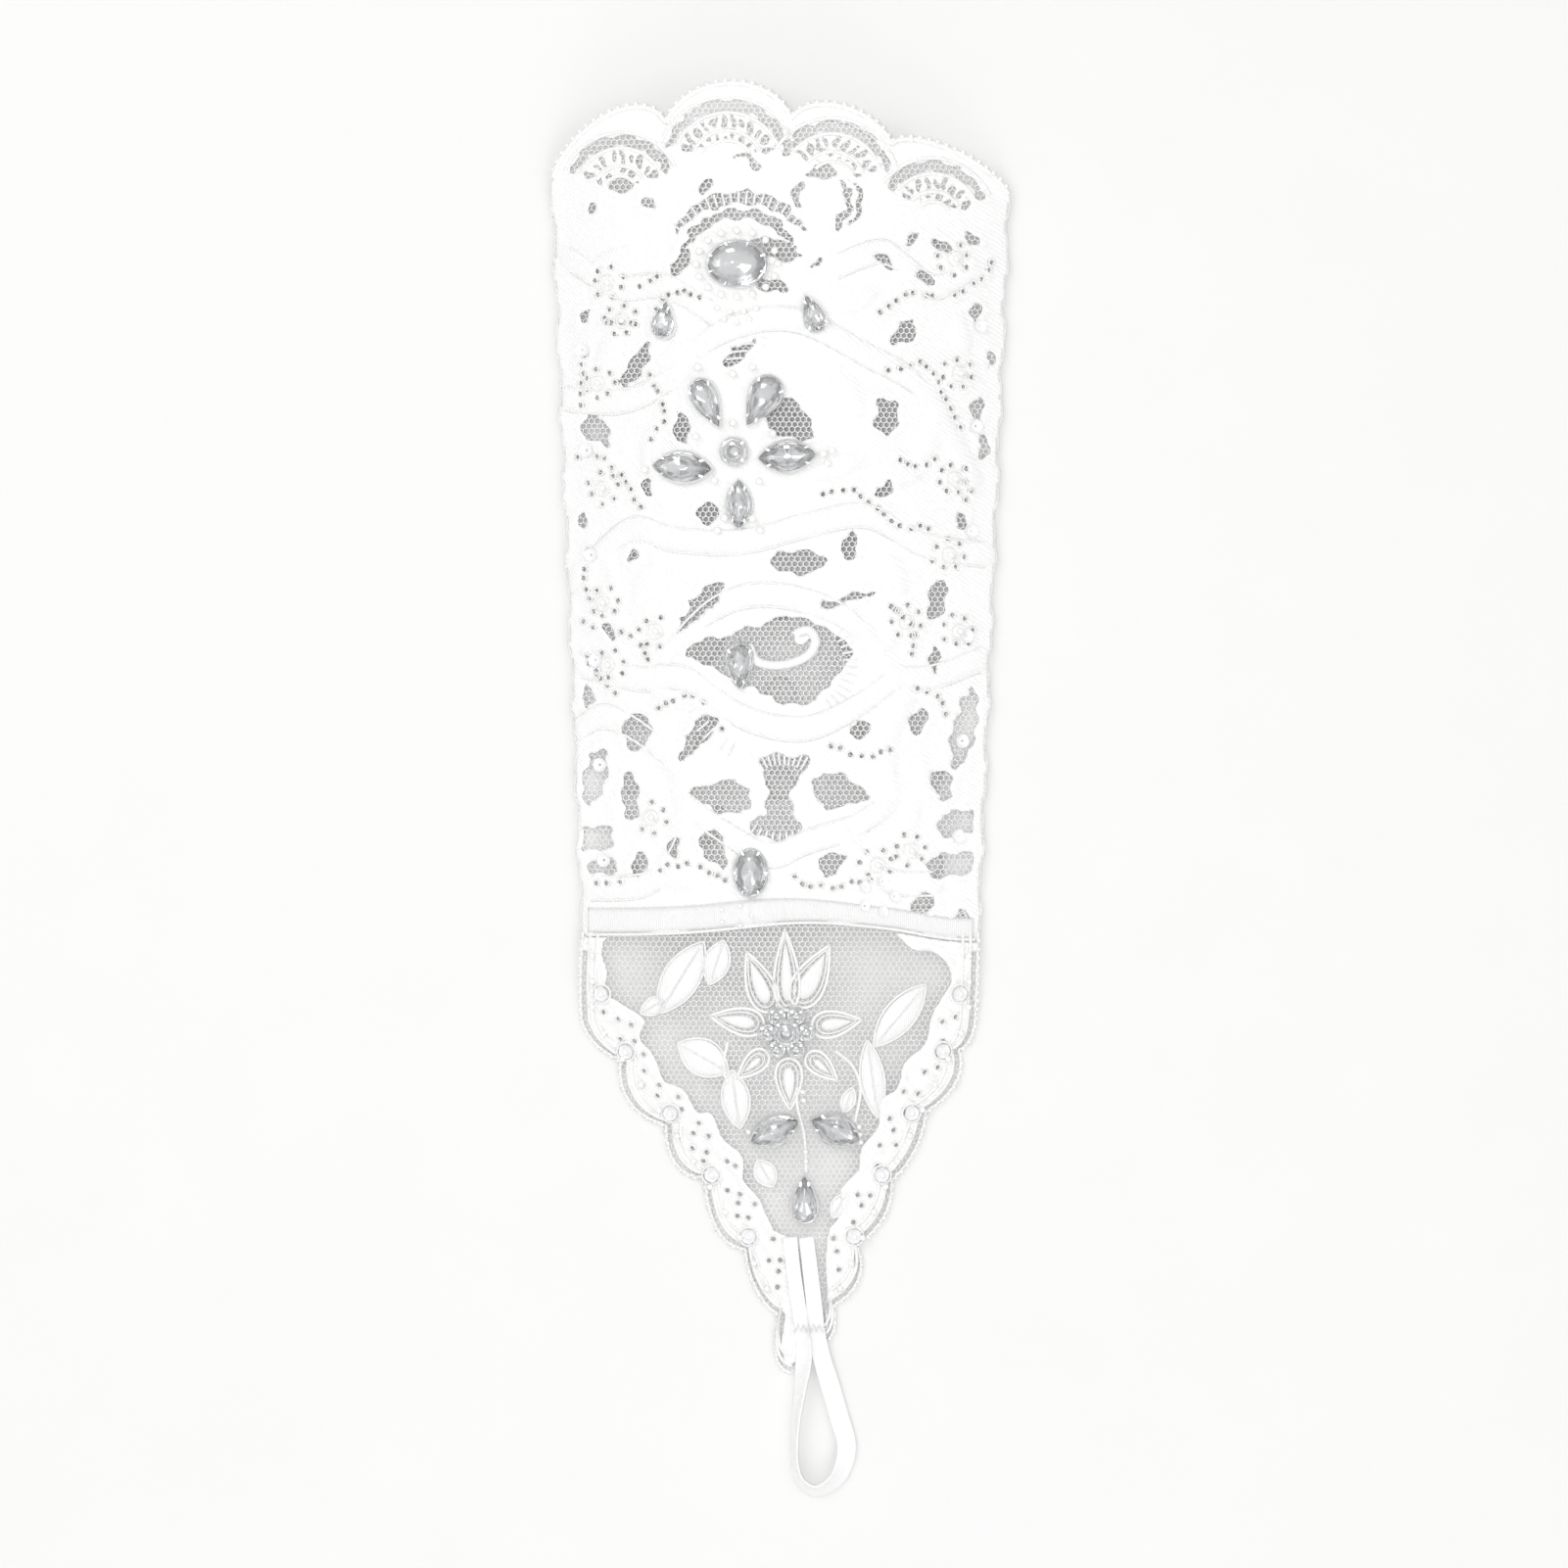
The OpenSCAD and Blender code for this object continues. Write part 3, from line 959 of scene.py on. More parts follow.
# Openings of the sleeve's embroidery, placed between its bands and leaves
SLEEVE_OPENINGS = motifs((
    (-1, 113.4, 11, 4.0, -18, L), (-1.8, 106, 8, 2.6, -14, L), (-20.8, 111, 8, 3.2, 62, L),
    (-30.2, 89.6, 11.5, 2.8, 57, L), (-8, 92.4, 9, 3.2, 40, D), (-38.4, 75.8, 7.5, 6, -45, W),
    (-20.7, 76.2, 6.4, 2.8, 88, S), (2.4, 77.6, 12, 9.5, -35, D), (-15.2, 58.4, 4.4, 4.2, 0, R),
    (22.2, 78.8, 7.4, 4.6, 80, S), (25.4, 95.8, 7, 4.6, 225, W), (44.1, 91.2, 4, 2, 90, L),
    (41.2, 80.6, 6, 2.6, 84, L), (42.7, 72.8, 5, 2.2, 86, L), (22, 63.6, 5, 2.8, 60, W),
    (14.6, 51.8, 6.2, 4, 80, W), (4, 48.4, 13.4, 5, 2, L), (-17.4, 38.6, 14.5, 4.6, 228, D),
    (14, 40.6, 13, 1.3, 16, L), (32.8, 40.6, 8, 3.4, 82, S), (32.2, 28.4, 6, 2, 90, L),
    (-30.2, 13.2, 8, 5.6, 80, R), (-17.6, 11.4, 12, 4.8, 232, D), (-39, 3.6, 12.5, 5, 75, L),
    (-31.5, -0.6, 9.4, 3.2, 92, S), (-12.8, -0.6, 13, 8.4, 176, D), (12.8, 0.4, 12, 9, -8, D),
    (-39, -9.4, 7.6, 5, 12, S), (-37.4, -15.2, 5.6, 3.4, 8, S), (-13.8, -12, 8.6, 6, -62, D),
    (-22.6, -11.6, 4.2, 2.4, 80, R), (-29.6, -14.6, 4.6, 3, 70, R), (10.8, -14.4, 6.6, 4.8, 30, W),
    (38.6, 13.4, 18.5, 4.8, 78, L), (28.8, 15, 5.6, 3, 62, R), (17, 13.6, 4.6, 3.2, 40, W),
    (33.8, 2, 6.4, 4.2, 100, R), (37, -6.4, 7.6, 4.8, 24, S), (35.8, -15, 9.4, 4.6, 12, S),
    (29.8, -23.4, 6.2, 4, 60, R), (38.2, -26, 4.6, 4.4, 80, W), (-31, 50, 3.2, 2.2, 40, R),
    (-41, 100, 3.4, 2.2, 60, R), (-36, 34, 3.6, 2.2, 120, R), (38, 57, 4, 2.4, 80, R),
    (-28, 64, 3, 2, 90, R), (30, 108, 4.6, 2, 150, L), (-41.5, 57, 5, 2, 92, L),
    (-25, 99.5, 4, 2, 120, R), (41, 101, 4.4, 2.2, 96, L), (-40.5, 20.5, 4.4, 2.2, 96, L),
))

# The large eye in the middle of the sleeve, and the hourglass of net between the two lower leaves
EYE = spline(
    ((-20.3, 29.2), (-16.7, 31.9), (-10.2, 33.2), (-0.3, 36.6), (5.6, 36.4), (12.8, 32.4), (14.8, 29.0),
     (12.2, 25.4), (8.2, 20.7), (3.6, 18.5), (-1.4, 19.6), (-5.4, 21.8), (-9.4, 22.8), (-14, 26.2)), 4, True)
HOURGLASS = spline(
    ((-4.9, 6.6), (-1.5, 8.2), (3.2, 7.4), (6.4, 7.6), (4.2, 4.2), (1.9, 0.4), (2.6, -3.6), (4.6, -7.2),
     (1.4, -9.4), (-2.6, -9.6), (-6.8, -7.4), (-3.4, -4.2), (-2.6, -0.6), (-3, 3.2)), 4, True)

# Scallop fans of the elbow end: centre x, centre y, radius of the net band, first and last angle
FANS = (
    (-33.6, 125.6, 11.0, 22, 158), (-11.2, 130.4, 13.2, 20, 160),
    (10.8, 127.0, 12.2, 14, 150), (32.0, 119.8, 11.4, 24, 146),
)
CRESCENT = (-8.6, 107.6, 13.4, 28, 152)
# Rows of bars: centre x, centre y, inner and outer radius, then first angle, last angle and step
FRINGES = (
    (CRESCENT[0], CRESCENT[1], CRESCENT[2] + 2.0, CRESCENT[2] + 4.8, (40, 142, 5.6)),
    (3.5, 27.2, 9.6, 12.6, (-52, 40, 8.0)), (-2, 26, 17.0, 20.2, (196, 250, 6.0)),
    (0.5, -1.4, 7.4, 10.4, (60, 124, 7.0)), (0.2, 1.2, 9.4, 12.0, (236, 302, 8.0)),
)
FAN_EYE = (9.6, 123.6)
FAN_ARCS = ((4.9, 1.0, -58, 62), (7.0, 1.1, -48, 44), (6.3, 2.4, 66, 128), (6.4, 1.6, 142, 190))
FAN_OPENINGS = motifs((
    (-33.4, 127.4, 5.6, 3.0, 8), (-27.6, 123.4, 4.2, 1.6, -50), (-39.6, 122.6, 3.6, 1.8, 60),
    (-15.6, 127.0, 3.8, 1.6, 60), (7.6, 110.8, 4.2, 1.1, 40), (22.4, 110.8, 7, 1.3, -36),
    (33.8, 114.6, 5.2, 1.6, -36), (27.6, 116.2, 3.8, 1.4, 40), (12.2, 119.4, 4.2, 1.2, 64),
    (40.2, 116.4, 4.6, 1.6, -50),
))

# Satin-stitched bands that sweep across the sleeve
BANDS = (
    ((-46, 83), (-34, 82), (-24, 86), (-13, 96), (2, 99), (17, 92), (30, 84), (40, 66)),
    ((-44, 44), (-32, 55), (-22, 53), (-8, 52.5), (6, 56), (18, 58), (30, 52), (43, 50)),
    ((-24, 29), (-14, 38.5), (-2, 41.5), (14, 36.5), (26, 24), (42, 28)),
    ((-42, 27), (-30, 24), (-20, 24), (-8, 16), (4, 13.4), (14, 17), (24, 24)),
    ((-43, 13), (-36, 16), (-24, 8), (-20, -4), (-26, -18), (-40, -20)),
    ((26, 20), (22, 10), (22, -2), (14, -9), (22, -18), (32, -19)),
    ((-20, -2), (-12, -8), (-2, -13), (6, -10), (16, -7)),
    ((12, 110), (22, 113), (32, 106), (40, 110)),
    ((-44, 112), (-34, 106), (-24, 106), (-14, 100)),
)

# Padded leaves between the bands
LEAVES = motifs((
    (-36, 92, 13, 5, 70), (-21, 92, 11, 4.4, 25), (14, 84, 13, 5, 120), (31, 74, 13, 5, 62),
    (-27, 70, 12, 4.8, 100), (12, 68, 12, 4.6, 20), (-28, 44, 12, 5, 60), (24, 46, 11, 4.4, 110),
    (-24, 20, 9, 3.6, 150), (22, 32, 10, 4, 60), (-36, 48, 9, 4, 110), (38, 96, 10, 4.2, 100),
    (18, -13, 10, 4, 150), (-22, -18, 11, 4, 170), (26, 66, 9, 3.6, 20), (30, 4, 9, 3.6, 100),
    (16, 103, 11, 4.4, 30), (-34, 112, 11, 4.4, 10), (27, -6, 9, 3.4, 60), (-35, -3, 6, 2.6, 100),
))

# Runs of eyelets that follow the bands
EYELET_RUNS = (
    ((-44, 101), (-36, 99), (-29, 98)), ((-43, 70), (-38, 71), (-33, 66), (-28, 58)),
    ((-26, 96), (-24, 104), (-16, 103)), ((8, 62), (16, 63), (24, 56), (33, 56)),
    ((-42, 36), (-36, 34), (-30, 32), (-27, 26)), ((28, 22), (33, 20), (36, 14)),
    ((22, 88), (30, 90), (35, 82), (38, 76)), ((-12, 13), (-18, 20), (-26, 18)), ((10, 10), (18, 8), (24, 10)),
    ((-26, -16), (-19, -15), (-10, -19)), ((2, -17), (8, -19.6), (20, -18)), ((-41, 30), (-38, 24), (-34, 21)),
    ((-28, 88), (-24, 80), (-27, 74)), ((20, 100), (26, 104), (34, 104)), ((-41, 93), (-42, 84), (-41, 79)),
    ((40, 64), (38, 60), (39, 56)), ((-40, 52), (-41, 46), (-40, 42)), ((22, 40), (28, 34), (27, 28)),
    ((-43, -18), (-38, -19), (-33, -18)),
    ((-30, 106), (-24, 108), (-20, 105)), ((36, 104), (42, 108), (45, 112)), ((24, 70), (29, 68), (33, 71)),
)

# Small stitched flowers down both sides of the sleeve
FLOWERS = (
    (-38, 86), (-37, 64), (-37, 40), (-36, 27), (-36, 107), (-27, -5), (37, 88), (36, 66), (35, 50), (37, 34),
    (27, -12), (36, 112), (20, -15), (-26, 34), (26, 36), (-33, 99),
)


@dataclass
class Pattern:
    """Which places of each lace layer are stitched, open or raised."""

    fan_net: float = 2.3  # width of each fan's band of net
    eyelet_pace: float = 2.1  # from one eyelet of a run to the next
    eyelet_room: float = 1.3  # from an eyelet to any opening
    flower_r: float = 3.1  # radius of a flower's ring of eyelets
    galloon_pace: float = 1.55
    galloon_depths: tuple[float, ...] = (4.6, 7.0, 5.6, 9.0)  # of the galloon's eyelets from its scalloped edge
    galloon_gap: float = 1.8  # least distance between its eyelets
    rosette_inset: float = 4.2
    rosette_rows: tuple[float, ...] = (-42, -54, -67, -80, -93)
    rim_rise: float = 0.30  # stitching round each opening
    band_rise: float = 0.6
    band_half: float = 2.3
    leaf_rise: float = 0.55
    flower_rise: float = 0.5
    scroll_half: float = 1.25
    knob_r: float = 1.9

    def __post_init__(self) -> None:
        """Work out the outlines once."""
        self.left, self.right = self._point_sides()
        self.sleeve_holes = [m.outline(0) for m in SLEEVE_OPENINGS] + [EYE, HOURGLASS]
        for cx, cy, r, a, b in FANS:
            self.sleeve_holes.append(arc_band(cx, cy, r, self.fan_net, a, b))
            self.sleeve_holes += [m.outline(0, 14) for m in self._rays(cx, cy, r, a, b)]
        self.sleeve_holes += [arc_band(*FAN_EYE, r, width, a, b) for r, width, a, b in FAN_ARCS]
        self.sleeve_holes.append(arc_band(-9.2, 128.4, 4.8, 1.1, 14, 96))
        self.sleeve_holes += [m.outline(0) for m in FAN_OPENINGS]
        self.eyelets = self._eyelets()
        self.point_eyelets = self._point_eyelets()
        cx, cy, r, a, b = CRESCENT
        self.sleeve_holes += [arc_band(cx, cy, r, 1.9, a, b), arc_band(cx, cy, r + 3.4, 2.4, a + 8, b - 8)]

    @staticmethod
    def _rays(cx: float, cy: float, r: float, start: float, end: float) -> list[Motif]:
        """Openings that fan out below a scallop's net band, and the row of dots inside them.

        Args:
            cx: Centre across the glove.
            cy: Centre along the glove.
            r: Radius of the net band.
            start: First angle in degrees.
            end: Last angle in degrees.

        Returns:
            The openings.
        """
        openings = []
        for depth, pitch, length, shape in ((3.5, 1.95, 2.7, S), (6.3, 1.9, 1.25, R)):
            ray_r = r - depth
            for t in np.arange(start + 1.5 * depth, end - depth, math.degrees(pitch / ray_r)):
                (at,) = around(cx, cy, ray_r, ray_r, [math.radians(t)])
                openings.append(Motif(*at, length, 1.05, t, shape))
        return openings

    def _eyelets(self) -> list[Place]:
        """Worked eyelets of the sleeve: rings of them as small flowers, and runs between.

        Returns:
            Where each is.
        """
        spots = []
        for k, (fx, fy) in enumerate(FLOWERS):
            spots += around(fx, fy, self.flower_r, self.flower_r, np.arange(7) * 2 * math.pi / 7 + k)
        for run in EYELET_RUNS:
            spots += paced(spline(run, 8), 0.8, self.eyelet_pace).tolist()
        x, y = (np.array(spots) + np.random.default_rng(4).uniform(-0.45, 0.45, (len(spots), 2))).T
        clear = np.full(len(x), 9.0)
        for hole in self.sleeve_holes:
            clear = np.minimum(clear, -inside(hole, x, y))
        room = (clear > self.eyelet_room) & (np.abs(x) < FORM.half_width(y) - 1.9) & (y > -21)
        return [Place(a, b, 0.52) for a, b in zip(x[room], y[room])]

    def _point_eyelets(self) -> list[Place]:
        """Worked eyelets of the point's two galloons.

        Returns:
            Where each is.
        """
        spots = []
        for side in (self.left, self.right):
            for k, (x, y) in enumerate(paced(spline(side[2:], 2), 1, self.galloon_pace)):
                depth = self.galloon_depths[k % len(self.galloon_depths)]
                spots.append((x - math.copysign(depth, x - FORM.lean(y)), y + 0.35 * depth))
        spots = np.array(spots) + np.random.default_rng(7).uniform(-0.6, 0.6, (len(spots), 2))
        x, y = spots.T
        galloon = np.maximum(inside(LEFT_GALLOON, x, y), inside(RIGHT_GALLOON, x, y))
        gap = np.array([min([9.0] + [math.dist(a, b) for b in spots[:i]]) for i, a in enumerate(spots)])
        room = (galloon > 1.1) & (inside(self.point_outline(), x, y) > 3.6)
        room &= (gap > self.galloon_gap) & (y < -31)
        return [Place(a, b, 0.66) for a, b in zip(x[room], y[room])]

    def rosettes(self) -> list[Point]:
        """Middles of the rosettes down both galloons.

        Returns:
            Places across and along the glove.
        """
        return [
            (float(FORM.lean(y) + side * (FORM.half_width(y) - self.rosette_inset)), float(y))
            for y in self.rosette_rows
            for side in (-1, 1)
        ]

    @staticmethod
    def _lobes(valleys: Sequence[Point], corners: Sequence[Point]) -> Grid:
        """Trim scallops from valley to valley, each pulled out towards its own corner.

        Args:
            valleys: Where the scallops meet.
            corners: The outermost corner of each.

        Returns:
            Points along the scalloped edge.
        """
        out = []
        for a, b, c in zip(np.array(valleys), np.array(valleys[1:]), np.array(corners)):
            pull = c + CORNER_PULL * (c - (a + b) / 2)
            for t in np.linspace(0, 1, 9)[:-1]:
                out.append((1 - t) ** 2 * a + 2 * t * (1 - t) * pull + t * t * b)
        out.append(np.array(valleys[-1]))
        return np.array(out)

    def _point_sides(self) -> tuple[Grid, Grid]:
        """Both scalloped sides of the point.

        Returns:
            The left side's points and the right side's, each from the wrist down.
        """
        left = self._lobes(
            ((-42, -47), (-33.8, -56), (-24.2, -69.8), (-16, -81), (-7.5, -96), (-0.3, -110), (2.2, -122)),
            ((-40, -52.5), (-33, -65.5), (-23, -78.8), (-14, -93), (-5.5, -105), (-1.6, -119.4)),
        )
        right = self._lobes(
            ((41, -47.5), (37.6, -54), (30.6, -67), (23.4, -81.5), (16, -95), (11, -108), (10, -115)),
            ((40.2, -52), (38, -61), (29, -75), (22.5, -89.5), (17.5, -102.5), (11.6, -112.5)),
        )
        return (
            np.vstack([[(-41.6, -29.0)], [(-42.2, -38)], left]),
            np.vstack([[(41.6, -29.0)], [(41.4, -38)], right]),
        )

    @staticmethod
    def wave(y: Grid | float) -> Grid | float:
        """Slight sideways unevenness of the folded sides at a station."""
        return 0.35 * np.sin(0.41 * y) + 0.22 * np.sin(1.03 * y + 1.2)

    def sleeve_outline(self) -> Grid:
        """The sleeve's outline, with its scalloped elbow end and arched wrist edge.

        Returns:
            Array of points.
        """
        u = np.linspace(-1, 1, 141)
        edge = np.column_stack([u * FORM.elbow_w / 2, FORM.elbow_edge(u)])
        y = np.linspace(124, -28, 60)
        right = np.column_stack([FORM.half_width(y) + self.wave(y), y])
        left = np.column_stack([-FORM.half_width(y) + self.wave(y + 40), y])[::-1]
        x = np.linspace(41, -41, 30)
        wrist = np.column_stack([x, self.wrist_edge(x)])
        return np.vstack([edge, right, wrist, left])[::-1]

    @staticmethod
    def wrist_edge(x: Grid | float) -> Grid | float:
        """Station of the embroidery's lower edge over the back of the wrist."""
        return -30.0 + 2.6 * np.exp(-(((x - 6) / 20) ** 2)) - 1.2 * smooth((x - 22) / 16)

    def sleeve(self, x: Grid, y: Grid) -> Grid:
        """Distance inside the sleeve's stitched ground.

        Args:
            x: Places across the glove.
            y: Places along the glove.

        Returns:
            Positive where stitched.
        """
        f = inside(self.sleeve_outline(), x, y)
        f = np.where(f <= -3.9, -4, np.minimum(f, 4))
        return np.minimum(f, self.openings(x, y))

    def openings(self, x: Grid, y: Grid) -> Grid:
        """Distance outside every opening of the sleeve.

        Args:
            x: Places across the glove.
            y: Places along the glove.

        Returns:
            Negative in an opening.
        """
        f = np.full(x.shape, 4.0)
        loose_x = x + 0.4 * np.sin(1.3 * y + 0.7 * x) + 0.2 * np.sin(2.9 * x - 1.7 * y)
        loose_y = y + 0.4 * np.sin(1.1 * x - 0.9 * y) + 0.2 * np.sin(3.1 * y + 1.3 * x)
        for hole in self.sleeve_holes:
            f = np.minimum(f, -inside(hole, loose_x, loose_y))
        for spot in self.eyelets:
            f = np.minimum(f, np.hypot(x - spot.x, y - spot.y) - EYELET_R)
        knob = np.hypot(x - SCROLL_END[0], y - SCROLL_END[1]) - self.knob_r
        scroll = np.minimum(away(SCROLL, x, y) - self.scroll_half, knob)
        return np.where(scroll < 0, np.maximum(f, -scroll), f)

    def relief(self, x: Grid, y: Grid, f: Grid) -> Grid:
        """How far the sleeve's stitching stands up.

        Args:
            x: Places across the glove.
            y: Places along the glove.
            f: Distance inside the stitched ground.

        Returns:
            Height above the ground cloth.
        """
        h = self.rim_rise * np.exp(-(((f - 0.75) / 0.42) ** 2))
        for band in BANDS:
            d = away(spline(band, 5), x, y) / self.band_half
            h = np.maximum(h, self.band_rise * np.sqrt(np.maximum(0, 1 - d * d)))
        for leaf in LEAVES:
            d = np.clip(inside(leaf.outline(), x, y) / (leaf.width * 0.42), 0, 1)
            h = np.maximum(h, self.leaf_rise * np.sqrt(1 - (1 - d) ** 2) * (d > 0))
        for fx, fy in FLOWERS:
            r, a = np.hypot(x - fx, y - fy), np.arctan2(y - fy, x - fx)
            petal = 3.4 * (0.55 + 0.45 * np.abs(np.cos(2.5 * a)))
            d = np.clip(1 - r / petal, 0, 1)
            h = np.maximum(h, self.flower_rise * np.sqrt(1 - (1 - d) ** 2) * (d > 0))
        return h * smooth(f / 0.35)

    def point_outline(self) -> Grid:
        """Outline of the point over the back of the hand.

        Returns:
            Array of points.
        """
        x = np.linspace(-41.6, 41.6, 24)
        top = np.column_stack([x, self.wrist_edge(x) - 0.25])
        return np.vstack([top, self.right[1:], self.left[:0:-1]])

    def point(self, side: Grid, x: Grid, y: Grid) -> Grid:
        """Distance inside the stitched galloon down one side of the point.

        Args:
            side: The galloon's outline.
            x: Places across the glove.
            y: Places along the glove.

        Returns:
            Positive where stitched.
        """
        edge = inside(self.point_outline(), x, y)
        f = np.minimum(np.where(y > -33, edge + 1.3, edge) - 1.3, inside(side, x, y))
        for spot in self.point_eyelets:
            f = np.minimum(f, np.hypot(x - spot.x, y - spot.y) - EYELET_R)
        return f


# The padded scroll in the eye, and the knob at its end
SCROLL = spline(((-6.4, 30.4), (-4.6, 27.4), (0.4, 26.8), (5.4, 28.6), (7.3, 31.6), (6, 34), (3.6, 33.6)), 6)
SCROLL_END = (4.4, 32.9)

# Inner edges of the stitched galloons, cut round their leaves and flowers
LEFT_GALLOON = np.vstack([
    spline(((-34.6, -28.0), (-37.6, -32.5), (-36.4, -37.6), (-37, -41.5), (-33.4, -44.2), (-28.6, -47.4),
            (-29.6, -51.2), (-26.6, -55.2), (-24.4, -60.4), (-20.4, -62.2), (-17.6, -66.8), (-14.4, -67.4),
            (-12.2, -72.4), (-8, -76.2), (-7.8, -81.2), (-4.6, -85), (-1.4, -91.6), (2.6, -95), (3.2, -110),
            (4, -124)), 4),
    np.array([(-6, -126), (-50, -60), (-50, -28)]),
])
RIGHT_GALLOON = np.vstack([
    spline(((23.0, -28.0), (27.6, -32.6), (32.8, -33.6), (36, -38.6), (33.6, -43.4), (31.6, -47), (30.4, -52.6),
            (26, -56.6), (24.6, -61.8), (21, -64.6), (20.4, -70.2), (17, -74.4), (16.4, -79), (12.8, -83),
            (12.6, -88.4), (9.8, -93.4), (9.6, -108), (8.6, -118)), 4),
    np.array([(14, -120), (50, -60), (50, -28)]),
])

PATTERN = Pattern()


# ---------------------------------------------------------------- sub-assemblies

FOREARM, HAND, LOOP = "forearm", "hand_point", "finger_loop"
HAND_FLOWER = (1.2, -50.0)  # middle of the flower on the point


@dataclass
class Part:
    """A group of pieces that are dressed and, unless they cross the wrist, put on their bodies together."""

    palette: Palette
    pieces: list[bpy.types.Object] = field(default_factory=list)

    def finish(
        self,
        obj: bpy.types.Object,
        material: ThreadFinish | SmoothFinish,
        body: str,
        *nodes: str,
        bends: bool = False,
    ) -> bpy.types.Object:
        """Dress a piece, put it on its body unless it crosses the wrist, and hide the CAD nodes it stands for.

        Args:
            obj: The piece.
            material: What it is made of.
            body: The body it moves with.
            *nodes: CAD nodes it replaces.
            bends: Whether it crosses the wrist; such a piece is not put on a body, and its place is baked into
                its mesh.

        Returns:
            The piece.
        """
        self.palette.dress(obj, material)
        if bends:
            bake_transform(obj)
        else:
            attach(obj, body)
        if nodes:
            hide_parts(*nodes)
        self.pieces.append(obj)
        log.info("%s: %d faces on %s", obj.name, len(obj.data.polygons), body)
        return obj


@dataclass
class Sleeve(Part):
    """The forearm sleeve: front and palm lace, their net, edges and seams."""

    grid: float = 0.6  # cells that the lace is cut on
    ground: float = 0.6  # height of the stitched ground's top above the lace's underside
    thick: float = 0.38
    net_pitch: float = 1.2
    net_thread: float = 0.29  # real thread is nearer 0.15 mm
    palm_top: float = 0.62
    palm_grid: float = 0.9
    palm_thick: float = 0.4
    palm_pitch: float = 1.5
    palm_thread: float = 0.2

    def build(self) -> None:
        """Make both layers."""
        self._palm()
        self._front()
        self._edges()

    def _top(self, x: Grid, y: Grid, f: Grid) -> Grid:
        """Height of the front lace's upper side.

        Args:
            x: Places across the glove.
            y: Places along the glove.
            f: Distance inside the stitched ground.

        Returns:
            Height above the table.
        """
        ripple = 0.12 * np.sin(0.33 * x + 0.21 * y) * np.sin(0.27 * y)
        return FORM.height(x, y) + self.ground + PATTERN.relief(x, y, f) + ripple

    def _front(self) -> None:
        """The upper layer, the net in its openings and the rings round its eyelets."""
        box = (-49.2, 49.2, -33, 151)
        lace = cloth("sleeve_lace_front", box, self.grid, PATTERN.sleeve, self._top, self.thick)
        self.finish(lace, LACE, FOREARM, "front_lace_panel", "elbow_scallops_front")
        outline = PATTERN.sleeve_outline()

        def keep(x: Grid, y: Grid) -> Grid:
            """Meshes in and just round the openings."""
            return (PATTERN.openings(x, y) < 0.7) & (inside(outline, x, y) > 0.4)

        net = tulle("sleeve_net_front", (-48, 48, -30, 146), self.net_pitch, self.net_thread, keep,
                    lambda x, y: FORM.height(x, y) + 0.12)
        self.finish(net, NET, FOREARM)
        self.finish(scatter("sleeve_eyelets", EYELET, PATTERN.eyelets), GIMP, FOREARM)
        rings = [Place(x, y, 0.9, scale=0.8) for x, y in FLOWERS]
        self.finish(scatter("sleeve_rosettes", ROSETTE, rings), GIMP, FOREARM)

    def _palm_solid(self, x: Grid, y: Grid) -> Grid:
        """Distance inside the palm layer's stitched ground, which has plain rows of openings.

        Args:
            x: Places across the glove.
            y: Places along the glove.

        Returns:
            Positive where stitched.
        """
        half = FORM.half_width(np.minimum(y, 128)) - 0.7
        u = np.clip(x / half, -1, 1)
        f = np.minimum(half - np.abs(x), np.minimum(FORM.palm_edge(u) - y, y + 26.2))
        for row in 19 * np.arange(-1, 7):
            openings = [Motif(0, 2 + row, 7, 7, 0, R).outline(0, 18)]
            for side in (-1, 1):
                openings.append(Motif(side * 15, 12 + row, 11, 5, 90 + side * 28).outline(0, 20))
                openings.append(Motif(side * 32, 3 + row, 8, 4, 90 - side * 20).outline(0, 18))
            for opening in openings:
                f = np.minimum(f, -inside(opening, x, y))
        return f

    def _palm(self) -> None:
        """The palm layer on the table, and its net."""
        def top(x: Grid, y: Grid, f: Grid) -> Grid:
            """Height of the upper side, with a low ridge along each edge."""
            return self.palm_top + 0.12 * np.exp(-(((f - 0.9) / 0.6) ** 2)) + 0 * x

        box = (-49, 49, -27, 148)
        palm = cloth("sleeve_lace_palm", box, self.palm_grid, self._palm_solid, top, self.palm_thick)
        self.finish(palm, LACE, FOREARM, "palm_lace_panel", "elbow_scallops_palm")
        net = tulle("sleeve_net_palm", (-46, 46, -25, 140), self.palm_pitch, self.palm_thread,
                    lambda x, y: (
                        (self._palm_solid(x, y) < 0.8) & (np.abs(x) < FORM.half_width(y) - 3) & (y < 125)),
                    lambda x, y: 0.12 + 0 * x)
        self.finish(net, NET, FOREARM)
        across = np.linspace(-1, 1, 40) * 40.4
        rolls = [np.column_stack([across, np.full(40, y), np.full(40, 0.75)]) for y in (-26.0, -23.6)]
        self.finish(cords("palm_hem_roll", rolls, 0.5), LACE, FOREARM, "palm_wrist_hem")

